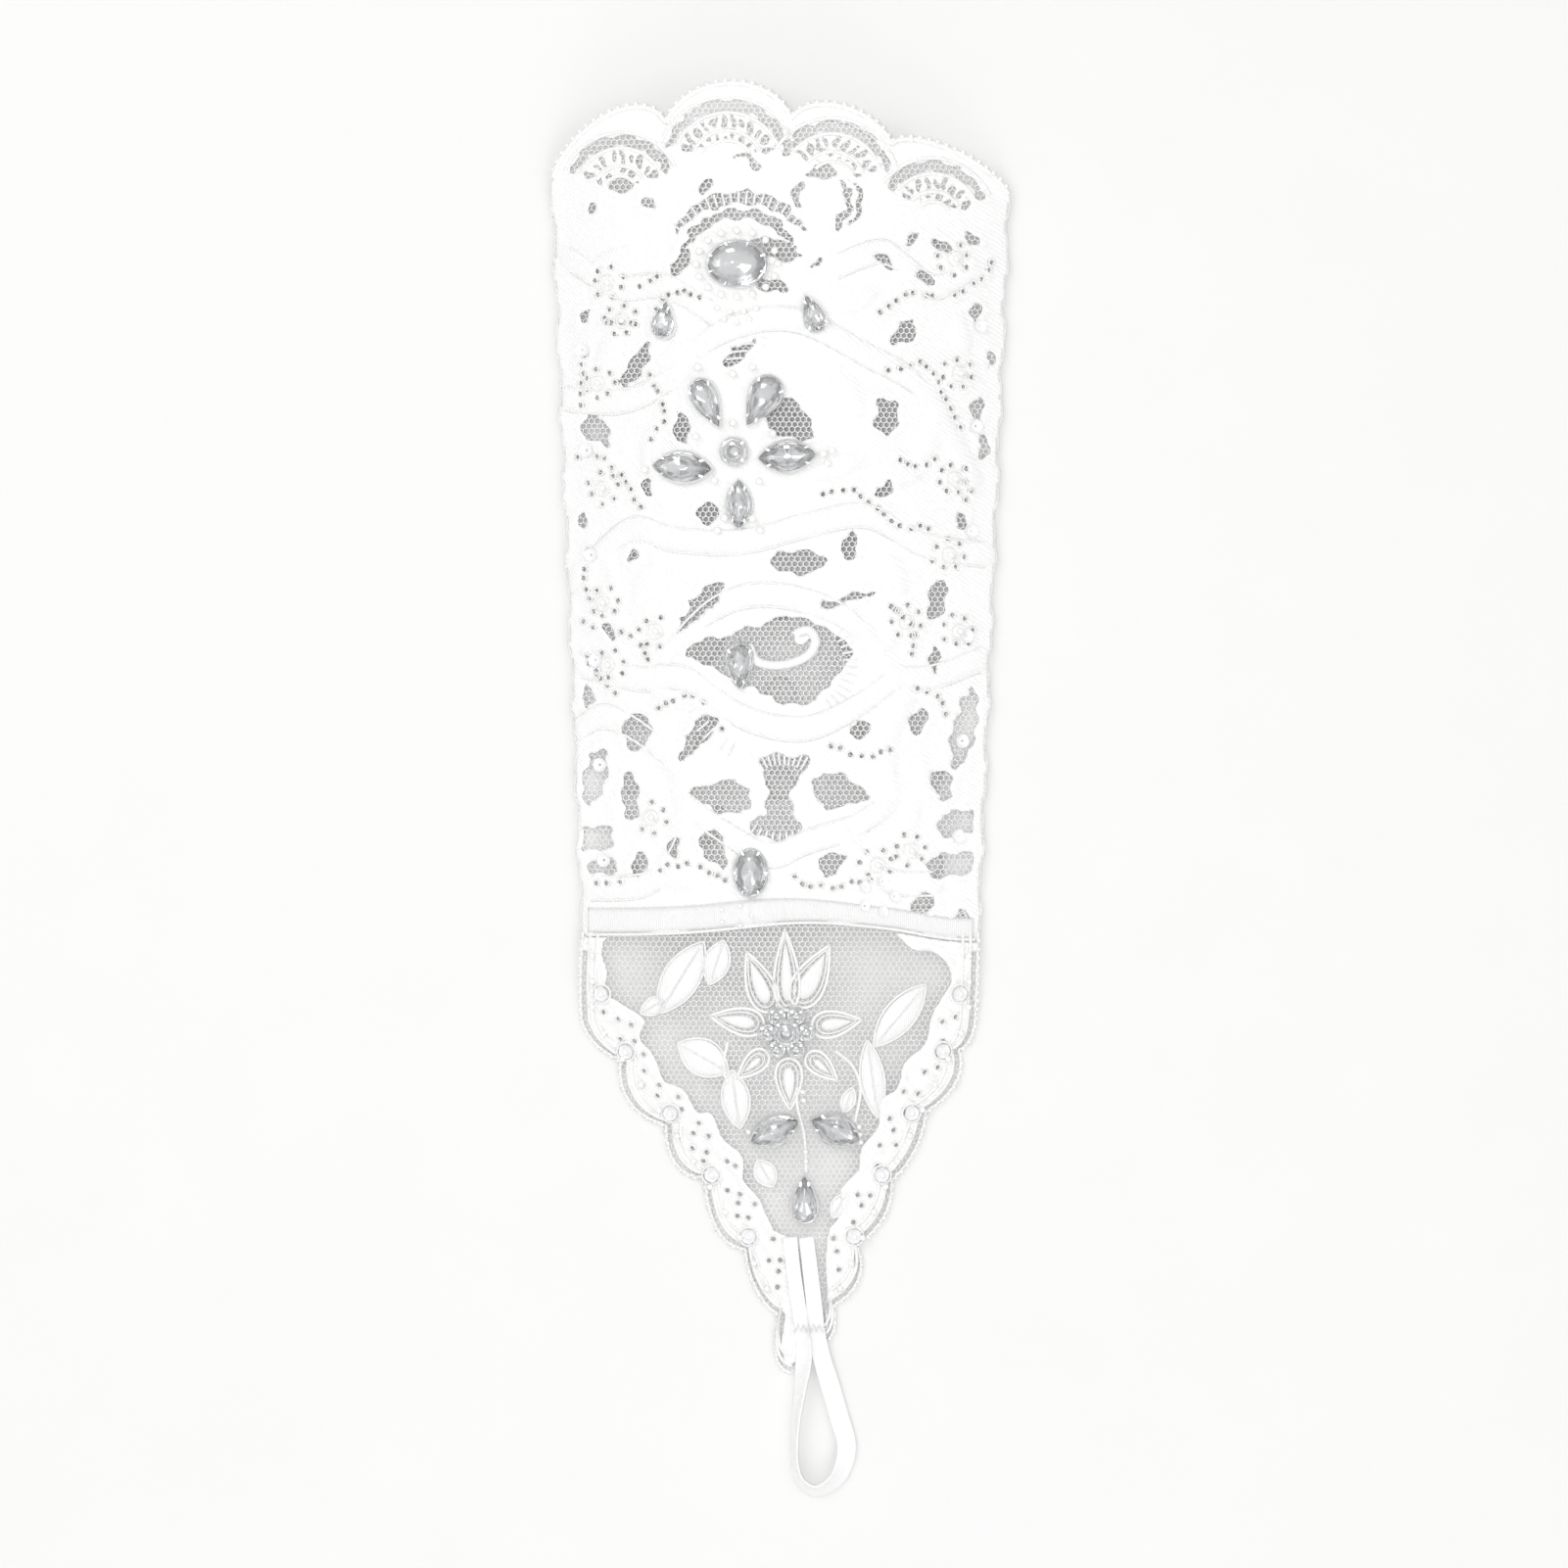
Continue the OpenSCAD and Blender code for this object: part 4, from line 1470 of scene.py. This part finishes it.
    def _edges(self) -> None:
        """Cords along the scallops and bands, picots, side seams, bars and the scroll."""
        u = np.linspace(-0.995, 0.995, 180)
        y = FORM.elbow_edge(u)
        x = u * FORM.elbow_w / 2
        edge = np.column_stack([x, y - 0.4])
        self.finish(cords("elbow_edge_cord", [on_lace(edge, 0.62)], 0.62), GIMP, FOREARM, "scallop_cord_front")
        inner = []
        for cx, cy, r, a, b in FANS:
            for dr, trim in ((1.7, 2), (-1.55, 6), (-5.3, 9), (-7.4, 13)):
                angles = np.radians(np.linspace(a + trim, b - trim, 30))
                inner.append(on_lace(np.array(around(cx, cy, r + dr, r + dr, angles)), 0.68))
        self.finish(cords("elbow_fan_cords", inner, 0.42), GIMP, FOREARM)
        places = [Place(a, b + 0.25, 0.2) for a, b in paced(np.column_stack([x, y]), 1.0, 1.9)]
        self.finish(scatter("elbow_picots", ball(0.55, 0.9), places), GIMP, FOREARM)
        palm_edge = np.column_stack([u * 47.2, FORM.palm_edge(u) - 0.3, np.full(len(u), 0.62)])
        self.finish(cords("palm_edge_cord", [palm_edge], 0.6), GIMP, FOREARM, "scallop_cord_palm")
        ys = np.linspace(-28.5, 125.5, 120)
        for side, name in ((-1, "left"), (1, "right")):
            wave = PATTERN.wave(ys + (40 if side < 0 else 0))
            seam = np.column_stack([side * (FORM.half_width(ys) - 0.35) + wave, ys, np.full(120, 1.05)])
            self.finish(cords(f"seam_{name}", [seam], 0.72), GIMP, FOREARM, f"side_seam_{name}")
        self.finish(cords("sleeve_bars", self._bars(), 0.3, sides=1), SATIN, FOREARM)
        self.finish(cords("sleeve_scroll", [on_lace(SCROLL, 0.9)], 1.05), SATIN, FOREARM)
        ridge = [spline(b, 8) for b in BANDS]
        rims = [on_lace(line + np.array([0, s]), 0.66) for line in ridge for s in (-2.5, 2.5)]
        self.finish(cords("band_gimp", rims, 0.3, sides=1), GIMP, FOREARM)

    @staticmethod
    def _bars() -> list[Grid]:
        """Short bars of thread along the fringes, and four across a leaf.

        Returns:
            Lines in space.
        """
        bars = []
        for cx, cy, r0, r1, angles in FRINGES:
            for a in np.radians(np.arange(*angles)):
                bars.append([(cx + r * math.cos(a), cy + r * math.sin(a)) for r in (r0, (r0 + r1) / 2, r1)])
        for k in range(4):
            bars.append([(-11.4 + k, 90.6 + 1.5 * k), (-8.4 + k, 90.9 + 1.5 * k), (-5.4 + k, 90.4 + 1.5 * k)])
        return [on_lace(np.array(bar), 0.45) for bar in bars]


@dataclass
class HandPoint(Part):
    """The pointed panel over the back of the hand."""

    net_pitch: float = 1.2
    net_thread: float = 0.29  # real thread is nearer 0.15 mm
    ground: float = 0.75
    thick: float = 0.4

    def build(self) -> None:
        """Make the net, the galloons, their cords and the stitched leaves and flower."""
        outline = PATTERN.point_outline()
        net = tulle("hand_net", (-44, 44, -122, -24), self.net_pitch, self.net_thread,
                    lambda x, y: (
                        (inside(outline, x, y) > -0.1) | ((y > -31) & (y < -24.5) & (np.abs(x) < 40.5))),
                    lambda x, y: FORM.height(x, y) + 0.14)
        self.finish(net, NET, HAND, "hand_point_panel", bends=True)

        def top(x: Grid, y: Grid, f: Grid) -> Grid:
            """Height of the upper side: uneven stitching with a ridge along each edge."""
            bumps = 0.22 * np.sin(1.3 * x) * np.sin(1.1 * y + 0.4 * x) + 0.12 * np.sin(2.1 * x + 1.7 * y)
            ridge = 0.28 * np.exp(-(((f - 0.7) / 0.45) ** 2))
            return FORM.height(x, y) + self.ground + (ridge + bumps) * smooth(f / 0.5)

        for name, side, going in (("left", LEFT_GALLOON, [net]), ("right", RIGHT_GALLOON, [])):
            lace = cloth(f"hand_galloon_{name}", (-45, 45, -124, -26), 0.42,
                         lambda x, y: PATTERN.point(side, x, y), top, self.thick)
            self.finish(lace, LACE, HAND, f"point_trim_{name}", bends=True)
            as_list(going)
        self.finish(scatter("hand_eyelets", EYELET, PATTERN.point_eyelets), GIMP, HAND, bends=True)
        rings = [Place(x, y, 1.0) for x, y in PATTERN.rosettes()]
        self.finish(scatter("hand_rosettes", ROSETTE, rings), GIMP, HAND, bends=True)
        self._cords()
        self._leaves()
        self._flower()

    def _cords(self) -> None:
        """Two rows of cord and a row of picots down each side."""
        centre = np.array([4.0, -40.0])
        lines, picots = [], []
        for side in (PATTERN.left, PATTERN.right):
            fine = spline(side, 2)
            inward = centre - fine
            inward[:, 1] *= 0.35
            inward /= np.linalg.norm(inward, axis=1)[:, None]
            for depth, lift in ((0.15, 0.3), (1.7, 0.95), (3.3, 0.9)):  # rows in from the scalloped edge
                lines.append(on_lace(fine + inward * depth, lift))
            picots += [Place(x, y, 0.05) for x, y in paced(fine, 2, 1.8)]
        self.finish(cords("hand_edge_cords", lines, 0.36), GIMP, HAND, bends=True)
        self.finish(scatter("hand_picots", ball(0.5, 0.9), picots), GIMP, HAND, bends=True)

    def _leaves(self) -> None:
        """Padded satin leaves with a corded vein."""
        leaves = motifs((
            (-20.8, -38.6, 17.5, 7.4, 58), (-13.4, -35.4, 9.4, 5.2, 72),
            (-16.2, -55.4, 11.8, 7.4, 150), (-9.4, -64.2, 12.2, 5.6, 98),
            (25.0, -46.6, 16.6, 6.2, 50), (19.3, -60.0, 16.2, 4.8, 98),
            (-26.6, -44.6, 6, 3.4, 30), (14.2, -64.4, 5.2, 2.6, 70),
            (12.4, -86.6, 5.6, 3.2, 60), (-3.2, -79.8, 6.2, 4.2, 120),
        ))
        domes, veins = [], []
        for leaf in leaves:
            points, faces = dome(leaf, 0.75)
            domes.append((Place(leaf.x, leaf.y, 0.32, leaf.turn).move(points), faces))
            r = math.radians(leaf.turn)
            t = np.linspace(-0.42, 0.42, 7) * leaf.length
            veins.append(on_lace(np.column_stack([leaf.x + t * math.cos(r), leaf.y + t * math.sin(r)]), 1.08))
        self.finish(make("hand_satin_leaves", *merged(domes)), SATIN, HAND, "hand_leaves", bends=True)
        rims = [on_lace(leaf.outline(0.15, 30), 0.5) for leaf in leaves]
        self.finish(cords("hand_leaf_gimp", rims, 0.3, closed=True, sides=1), GIMP, HAND, bends=True)
        self.finish(cords("hand_leaf_veins", veins, 0.2, sides=1), GIMP, HAND, bends=True)

    def _flower(self) -> None:
        """The flower round the stone cluster: corded petals, each with stitched filling."""
        petals = motifs((
            (-4.6, -39.4, 13.5, 7.2, 112, D), (6.8, -38.2, 14.5, 8.2, 62, D),
            (1.2, -37.0, 17, 6.4, 92, D), (11.8, -48.2, 10.5, 6.6, 8, D),
            (-9.2, -47.6, 11.5, 6.8, 170, D), (1.8, -61.0, 11, 6.6, 272, D),
            (8.8, -57.4, 8.4, 5.2, 318, D), (-6.0, -57.0, 8.4, 5.2, 222, D),
        ))
        outer = [on_lace(p.outline(0, 30), 0.5) for p in petals]
        inner = [on_lace(p.outline(-1.0, 26), 0.45) for p in petals]
        self.finish(cords("petal_cords", outer, 0.34, closed=True), GIMP, HAND, bends=True)
        self.finish(cords("petal_chain", inner, 0.22, closed=True, sides=1), GIMP, HAND, bends=True)
        fills = []
        for p in petals:
            points, faces = dome(replace(p, length=p.length - 3.6, width=max(1.6, p.width - 3.6)), 0.55, 3, 20)
            fills.append((Place(p.x, p.y, 0.3, p.turn).move(points), faces))
        self.finish(make("petal_satin", *merged(fills)), SATIN, HAND, "hand_flower_petals", bends=True)
        stems = [
            on_lace(spline(line, steps), 0.5)
            for line, steps in (
                (((3.4, -61.5), (3.6, -66), (5.0, -72), (5.4, -79.5)), 6),
                (((11.5, -54), (15, -57), (16.8, -62), (15.6, -69)), 5),
                (((-11, -52), (-12, -58), (-9.6, -64), (-9, -70)), 5),
            )
        ]
        self.finish(cords("hand_stems", stems, 0.36), GIMP, HAND)


@dataclass(frozen=True)
class StoneCut:
    """Proportions of a foil-backed stone."""

    height: float = 2.6
    girdle: float = 0.42
    table: float = 0.56
    culet: float = 0.14

    def crystal(self, motif: Motif, count: int = 16) -> Solid:
        """The glass: pavilion, girdle, two rows of crown facets and a table.

        Args:
            motif: The stone's outline.
            count: Facets round the girdle.

        Returns:
            Points and faces.
        """
        shape, h = motif.centred(), self.height
        rim, half = shape.outline(0, count), shape.outline(0, count * 2)[1::2]
        rows = [
            (rim * self.culet, 0.02), (half * 0.62, 0.2 * h), (rim, self.girdle * h - 0.06),
            (rim, self.girdle * h + 0.06), (half * 0.8, 0.78 * h), (rim * self.table, h),
        ]
        faces = [list(range(count))[::-1], [5 * count + i for i in range(count)]]
        for k in range(5):
            for a, b, d, c in quads([(k, k + 1)], count):
                if k == 2:
                    faces.append([a, b, d, c])
                elif k in (0, 3):
                    faces += [[a, b, c], [c, b, d]]
                else:
                    faces += [[a, d, c], [a, b, d]]
        return stack(rows), faces

    def foil(self, motif: Motif, count: int = 16) -> Solid:
        """The silvered shell that backs the pavilion.

        Args:
            motif: The stone's outline.
            count: Facets round it.

        Returns:
            Points and faces of a closed thin bowl.
        """
        shape, h = motif.centred(), self.height
        rim, half = shape.outline(0, count), shape.outline(0, count * 2)[1::2]
        rows = [
            (rim * 1.03, self.girdle * h - 0.1), (half * 0.66, 0.2 * h - 0.06), (rim * self.culet * 1.4, -0.04),
            (rim * self.culet * 1.4, -0.14), (half * 0.72, 0.2 * h - 0.2), (rim * 1.07, self.girdle * h - 0.12),
        ]
        faces = [[2 * count + i for i in range(count)], [3 * count + i for i in range(count)][::-1]]
        return stack(rows), faces + quads(((0, 1), (1, 2), (3, 4), (4, 5), (5, 0)), count)


@dataclass
class Jewels(Part):
    """Stones in their cups, with foil behind them and claws round them."""

    cut: StoneCut = StoneCut()
    wall: float = 0.42
    lift: float = 0.85  # of the cups above the lace's underside
    raised: float = 0.32  # of the glass above its cup's foot
    claw_half: float = 0.3

    def build(self) -> None:
        """Make every stone of the sleeve and the point."""
        centre = (*HAND_FLOWER, 4.8, 4.8, 0, R)
        sixths = np.radians(60 * np.arange(6))
        ring = [(x, y, 2.6, 2.6, 0, R) for x, y in around(*HAND_FLOWER, 4.1, 4.1, sixths)]
        for name, body, claws, nodes, stones in (
            ("crown", FOREARM, 8, ("crown_stone", "crown_setting"), ((-9, 110.5, 12, 9, 0, R),)),
            ("drops", FOREARM, 4, ("drop_stones", "drop_settings"),
             ((-24, 99, 7, 5, 80, D), (6.6, 100.2, 7.5, 5, 112, D))),
            ("blossom", FOREARM, 4, ("blossom_stones", "blossom_settings"),
             ((1.4, 70.4, 11.5, 6, 4), (-20.2, 68.2, 12, 6, 176), (-4, 81.8, 11, 7.4, 240, D),
              (-15, 81.4, 10.5, 6, 297, D), (-8.6, 60.4, 9.6, 4.6, 90))),
            ("blossom_centre", FOREARM, 4, ("blossom_centre_stone",), ((-9.6, 71.4, 5, 5, 0, R),)),
            ("pendant", FOREARM, 4, ("pendant_stone", "pendant_setting"), ((-8.4, 26.6, 9, 6, 270, D),)),
            ("wrist", FOREARM, 6, ("wrist_stone", "wrist_setting"), ((-6.2, -16.6, 9.4, 6.4, 90, R),)),
            ("leaf_pair", HAND, 4, ("leaf_stones", "leaf_settings"),
             ((-1.2, -70.6, 10.4, 5.6, 205), (11.4, -70.4, 10.6, 5.8, -24))),
            ("tip", HAND, 4, ("tip_stone", "tip_setting"), ((5, -85, 9.6, 6, 90, D),)),
            ("hand_flower", HAND, 4, ("hand_flower_stones",), (centre, *ring)),
        ):
            self._group(name, body, claws, nodes, motifs(stones))

    def _group(self, name: str, body: str, claws: int, nodes: Sequence[str], stones: Sequence[Motif]) -> None:
        """Make one group of stones: glass, foil and cups.

        Args:
            name: What the pieces are called.
            body: The body they ride on.
            claws: Claws round each cup.
            nodes: The CAD node of the stones, then that of their cups if they have one.
            stones: The stones' outlines and places.
        """
        glass, foil, metal = [], [], []
        for m in stones:
            cut = StoneCut(height=min(self.cut.height, 0.42 * m.width + 0.3))
            seat = Place(m.x, m.y, self.lift, m.turn)
            above = replace(seat, lift=self.lift + self.raised)
            for parts, (points, faces) in ((glass, cut.crystal(m)), (foil, cut.foil(m))):
                parts.append((above.move(points), faces))
            metal += [(seat.move(points), faces) for points, faces in self._cup(m, cut, claws)]
        for kind, parts, finish, stands_for in (
            ("crystal", glass, CRYSTAL, nodes[:1]), ("foil", foil, FOIL, ()), ("cup", metal, SILVER, nodes[1:]),
        ):
            obj = make(f"{name}_{kind}", *merged(parts), shaded=False)
            outward(obj)
            self.finish(obj, finish, body, *stands_for)

    def _cup(self, m: Motif, cut: StoneCut, claws: int) -> list[Solid]:
        """A cup wall round the girdle, and claws folded over it.

        Args:
            m: The stone's outline.
            cut: The stone's proportions.
            claws: How many claws.

        Returns:
            Closed parts.
        """
        top = cut.girdle * cut.height + 0.36
        profile = (
            (0.14, 0.1), (0.14, top - 0.1), (0.3, top),
            (0.14 + self.wall, top - 0.25), (0.3 + self.wall, 0.0),
        )
        rows = [(m.centred().outline(grow, 24), z) for grow, z in profile]
        parts = [(stack(rows), quads([(k, (k + 1) % 5) for k in range(5)], 24))]
        rim = m.centred().outline(0.05, 360)
        for c in range(claws):
            at = rim[int(360 * (c + 0.5) / claws) % 360]
            out = at / np.linalg.norm(at)
            side = np.array([-out[1], out[0]]) * self.claw_half
            foot, knee, tip = at + out * 0.5, at + out * 0.25, at - out * 0.55
            path = [(foot, 0.0), (foot, top - 0.1), (knee, top + 0.3), (tip, top + 0.42)]
            pts, fs = [], []
            for k, (p, z) in enumerate(path):
                half = side * (1 - 0.15 * k)
                thin = out * 0.26 if k < 2 else out * 0.05
                drop = 0.0 if k < 2 else 0.26
                pts += [(*(p + q * half), z) for q in (-1, 1)]
                pts += [(*(p + q * half - thin), z - drop) for q in (1, -1)]
                if k:
                    b, a = 4 * k, 4 * (k - 1)
                    fs += [[a + i, a + (i + 1) % 4, b + (i + 1) % 4, b + i] for i in range(4)]
            fs += [[3, 2, 1, 0], [12, 13, 14, 15]]
            parts.append((np.array(pts), fs))
        return parts


@dataclass
class Trimmings(Part):
    """Seed beads and cup sequins."""

    bead_r: float = 0.85

    def build(self) -> None:
        """Sew on every bead and sequin."""
        bead = ball(self.bead_r)
        ring = [Place(x, y, 0.75) for x, y in around(-9, 110.5, 8.4, 6.9, np.arange(16) * math.pi / 8)]
        below = [Place(-9 + x, 110.5 + y, 0.75, scale=0.8) for x, y in
                 ((-4, -9.2), (-1.4, -9.9), (1.4, -9.9), (4, -9.2), (-2.6, -11.5), (0, -12.2), (2.6, -11.5))]
        self.finish(scatter("crown_bead_ring", bead, ring + below), BEAD, FOREARM, "crown_beads")
        among = (
            (-1.6, 75.2), (-9.8, 77.4), (-17.4, 74.6), (-13.6, 65.4), (-4.4, 65.2), (-9.8, 87.6), (-13, 55),
            (-4.2, 55), (8.8, 71), (10.6, 71.6), (9.6, 69), (-11.6, 57.6), (-5.8, 57.4), (-28, 67.8),
            (-5.8, 89), (-17, 89),
        )
        spray = scatter("blossom_bead_spray", bead, [Place(x, y, 0.75) for x, y in among])
        self.finish(spray, BEAD, FOREARM, "blossom_beads")
        five = np.arange(5) * 1.256
        loose = [Place(fx + 0.2, fy, 1.0, scale=0.8) for fx, fy in FLOWERS]
        loose += [Place(x, y, 0.9, scale=0.6) for x, y in around(-9.4, -25.6, 3.4, 2.2, five)]
        self.finish(scatter("sleeve_flower_beads", bead, loose), BEAD, FOREARM)
        cup = lathe(((0.3, 0.02), (0.8, 0.0), (1.48, 0.4), (1.48, 0.52), (0.8, 0.14), (0.3, 0.14)), 12)
        ys = (-14, 6, 28, 50, 72, 93)
        left = [Place(5.4 - float(FORM.half_width(y)), y, 0.85) for y in ys]
        right = [Place(float(FORM.half_width(y + 5)) - 5.4, y + 5, 0.85) for y in ys]
        flower = [Place(x, y, 0.95, scale=0.8) for x, y in around(20.2, -21.6, 3.4, 3.4, five)]
        self.finish(scatter("sequins_left", cup, left, False), SEQUIN, FOREARM, "sleeve_sequins_left")
        right += flower
        self.finish(scatter("sequins_right", cup, right, False), SEQUIN, FOREARM, "sleeve_sequins_right")
        hand_sequins = [Place(x, y, 1.15) for x, y in PATTERN.rosettes()]
        hand_beads = [Place(x, y, 1.25, scale=0.75) for x, y in PATTERN.rosettes()]
        for k in range(14):
            y = mix(-34, -104, k / 13)
            for side in (-1, 1):
                x = float(FORM.lean(y) + side * (FORM.half_width(y) - 2.4))
                hand_beads.append(Place(x, y, 1.0, scale=0.8))
        single = (
            (16.4, -71.4), (16.6, -73), (16.3, -69.8), (4.6, -62.4), (4.8, -64.2), (-6.6, -70.8),
            (5.2, -75), (5.3, -77),
        )
        hand_beads += [Place(x, y, 0.9, scale=0.7) for x, y in single]
        sequins = scatter("hand_sequins", cup, hand_sequins, False)
        self.finish(sequins, SEQUIN, HAND, "point_sequins", bends=True)
        self.finish(scatter("hand_beads", bead, hand_beads), BEAD, HAND, "point_beads", bends=True)


@dataclass
class SatinBand(Part):
    """The satin-stitched band across the wrist."""

    def build(self) -> None:
        """Make the padded band and the stitches along it."""
        x = np.linspace(-40.6, 40.6, 110)
        rows = []
        for t in np.linspace(0, 1, 6):
            y = mix(PATTERN.wrist_edge(x) + 0.7, PATTERN.wrist_edge(x) + 6.0 - 1.2 * smooth((x + 10) / 30), t)
            z = FORM.height(x, y) + 0.75 + 0.45 * math.sin(math.pi * mix(0.06, 0.94, t))
            rows.append(np.column_stack([x, y, z]))
        faces = quads([(k, k + 1) for k in range(len(rows) - 1)], len(x), closed=False)
        band = make("wrist_satin_band", np.vstack(rows), faces)
        apply_modifier(band, "SOLIDIFY", thickness=0.3 * MM, offset=-1.0)
        self.finish(band, SATIN, FOREARM, "wrist_band")
        low = on_lace(np.column_stack([x, PATTERN.wrist_edge(x) + 0.35]), 0.85)
        self.finish(cords("wrist_band_gimp", [low], 0.34), GIMP, FOREARM)


@dataclass
class FingerLoop(Part):
    """The satin ribbon: two tails sewn side by side on the point, and the loop between them."""

    width: float = 4.0
    thick: float = 0.34
    sewn_y: float = -114.0  # where the ribbon leaves the lace
    sewn_lift: float = 1.55

    def build(self) -> None:
        """Make the ribbon as one strip, and the bar of stitches that holds it."""
        # x, y, height of the middle, how far the ribbon is turned onto its edge in degrees, and its width
        stations = (
            (5.4, -93.2, 0, 0, 3.1), (6.2, -100, 0, 0, 3.2), (7.0, -107, 0, 0, 3.3), (7.6, -113, 0, 2, 3.5),
            (8.6, -118.5, 1.1, 6, 3.8), (10.3, -124, 0.8, 6, 4.0), (12.3, -131, 0.7, 6, 4.0),
            (13.9, -137, 0.8, 10, 4.0), (12.9, -142.2, 1.1, 28, 4.0), (10.6, -145.2, 1.5, 44, 4.0),
            (7.2, -146.6, 1.8, 54, 4.0), (4.1, -144.6, 1.9, 62, 4.0), (3.0, -141, 2.0, 70, 4.0),
            (2.9, -137, 2.0, 72, 4.0), (3.3, -131, 1.9, 68, 4.0), (4.2, -124.5, 1.7, 52, 3.9),
            (4.9, -118.5, 1.4, 18, 3.6), (4.6, -113, 0, 4, 3.2), (3.7, -107, 0, 0, 3.0), (2.7, -100, 0, 0, 3.0),
            (2.0, -93.2, 0, 0, 3.0),
        )
        line = spline([s[:2] for s in stations], 5)
        at = np.arange(len(line)) / 5
        z, turn, width = (np.interp(at, np.arange(len(stations)), [s[k] for s in stations]) for k in (2, 3, 4))
        sewn = FORM.height(line[:, 0], line[:, 1]) + self.sewn_lift
        past = self.sewn_y - line[:, 1]
        mid = np.where(past < 0, sewn, 1 - smooth(past / 4) + z)
        centre = np.column_stack([line, mid])
        ahead = np.gradient(centre, axis=0)
        ahead /= np.linalg.norm(ahead, axis=1)[:, None]
        flat = np.cross(ahead, [0, 0, 1.0])
        flat /= np.linalg.norm(flat, axis=1)[:, None]
        up = np.cross(flat, ahead)
        a = np.radians(turn)[:, None]
        across, over = flat * np.cos(a) + up * np.sin(a), up * np.cos(a) - flat * np.sin(a)
        w, t = width[:, None] / 2, self.thick / 2
        section = ((-1, 1.0), (-0.9, 1.5), (-0.78, 1.0), (0.78, 1.0), (0.9, 1.5), (1, 1.0),
                   (1, -1.0), (0.9, -1.5), (0.78, -1.0), (-0.78, -1.0), (-0.9, -1.5), (-1, -1.0))
        rings = np.stack([centre + across * w * p + over * t * q for p, q in section], axis=1)
        last, m = len(line) - 1, len(section)
        faces = quads([(i, i + 1) for i in range(last)], m)
        faces += [list(range(m))[::-1], [last * m + k for k in range(m)]]
        ribbon = make("loop_ribbon", rings.reshape(-1, 3), faces)
        outward(ribbon)
        self.palette.dress(ribbon, RIBBON)
        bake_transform(ribbon)
        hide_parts("loop_tail", "finger_loop")
        zigzag = np.array([(2.6 + 0.55 * k, -111.6 - 1.6 * (k % 2)) for k in range(13)])
        bar = on_lace(zigzag, 1.95)
        self.finish(cords("loop_tack_stitches", [bar], 0.22), SATIN, HAND, "loop_tack")


# ---------------------------------------------------------------- the studio


@dataclass(frozen=True)
class Lamp:
    """A square softbox aimed at the glove, its place and size in metres."""

    name: str
    place: tuple[float, float, float]
    size: float
    power: float

    def hang(self) -> None:
        """Put the lamp up."""
        data = bpy.data.lights.new(self.name, "AREA")
        data.size, data.energy = self.size, self.power
        obj = bpy.data.objects.new(self.name, data)
        x, y, z = self.place
        obj.location = (x, y, z)
        obj.rotation_euler = (math.atan2(math.hypot(x, y), z), 0.0, math.atan2(-y, -x) - math.pi / 2)
        bpy.context.scene.collection.objects.link(obj)


@dataclass(frozen=True)
class Studio:
    """Pale table, camera straight overhead, softboxes round the glove, a ring light by the camera's axis."""

    field_mm: float = 329.8
    centre: Point = (0.72, 1.96)
    distance: float = 1.6
    sensor: float = 36.0
    room_strength: float = 0.68
    table_z: float = -0.0004

    def camera(self) -> None:
        """Put the camera overhead with its top towards the elbow end."""
        data = bpy.data.cameras.new("Overhead")
        data.sensor_width = self.sensor
        data.lens = self.sensor * self.distance / (self.field_mm * MM)
        data.clip_end = 10.0
        obj = bpy.data.objects.new("Overhead", data)
        obj.location = (self.centre[0] * MM, self.centre[1] * MM, self.distance)
        bpy.context.scene.collection.objects.link(obj)
        bpy.context.scene.camera = obj

    def light(self) -> None:
        """Hang the softboxes and set the room's light."""
        for lamp in (
            Lamp("Key softbox", (-0.55, 0.45, 0.9), 0.6, 2.6),
            Lamp("Fill softbox", (0.65, 0.1, 0.8), 0.6, 0.9),
            Lamp("Low strip", (0.1, -0.8, 0.45), 0.4, 1.0),
            Lamp("Ring light", (-0.045, 0.0, 1.9), 0.12, 11.8),
        ):
            lamp.hang()
        bpy.context.scene.view_settings.view_transform = "Standard"
        world = bpy.data.worlds.new("Studio room")
        bpy.context.scene.world = world
        world.use_nodes = True
        nodes, links = world.node_tree.nodes, world.node_tree.links
        place = nodes.new("ShaderNodeTexCoord")
        split = nodes.new("ShaderNodeSeparateXYZ")
        ramp = nodes.new("ShaderNodeValToRGB")
        links.new(place.outputs["Generated"], split.inputs["Vector"])
        links.new(split.outputs["Z"], ramp.inputs["Fac"])
        links.new(ramp.outputs["Color"], nodes["Background"].inputs["Color"])
        ramp.color_ramp.elements[0].color = linear("#c2c4c6")
        ramp.color_ramp.elements[1].color = linear("#ffffff")
        ramp.color_ramp.elements[1].position = 0.75
        nodes["Background"].inputs["Strength"].default_value = self.room_strength

    def table(self) -> None:
        """Lay the pale table top."""
        bpy.ops.mesh.primitive_plane_add(size=6.0, location=(0, 0, self.table_z))
        floor = bpy.context.active_object
        floor.name = "Table"
        s = Shader("Matt white laminate")
        grain = s.add("ShaderNodeTexNoise", Vector=s.add("ShaderNodeTexCoord").outputs["Object"], Scale=40.0)
        s.fill(s.surface, Base_Color=s.ramp(grain.outputs["Fac"], "#e6e6e5", "#e8e8e7"), Roughness=0.8)
        floor.data.materials.append(s.material)


def main() -> None:
    """Build the glove, piece by piece, and say how large it is."""
    logging.basicConfig(level=logging.INFO, format="%(message)s")
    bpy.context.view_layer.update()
    studio = Studio()
    studio.camera()
    palette = Palette()
    for kind in (FingerLoop, Sleeve, SatinBand, HandPoint, Jewels, Trimmings):
        part = kind(palette)
        part.build()
        log.info("%s: %d pieces", kind.__name__, len(part.pieces))
    studio.light()
    studio.table()


if __name__ == "__main__":
    main()
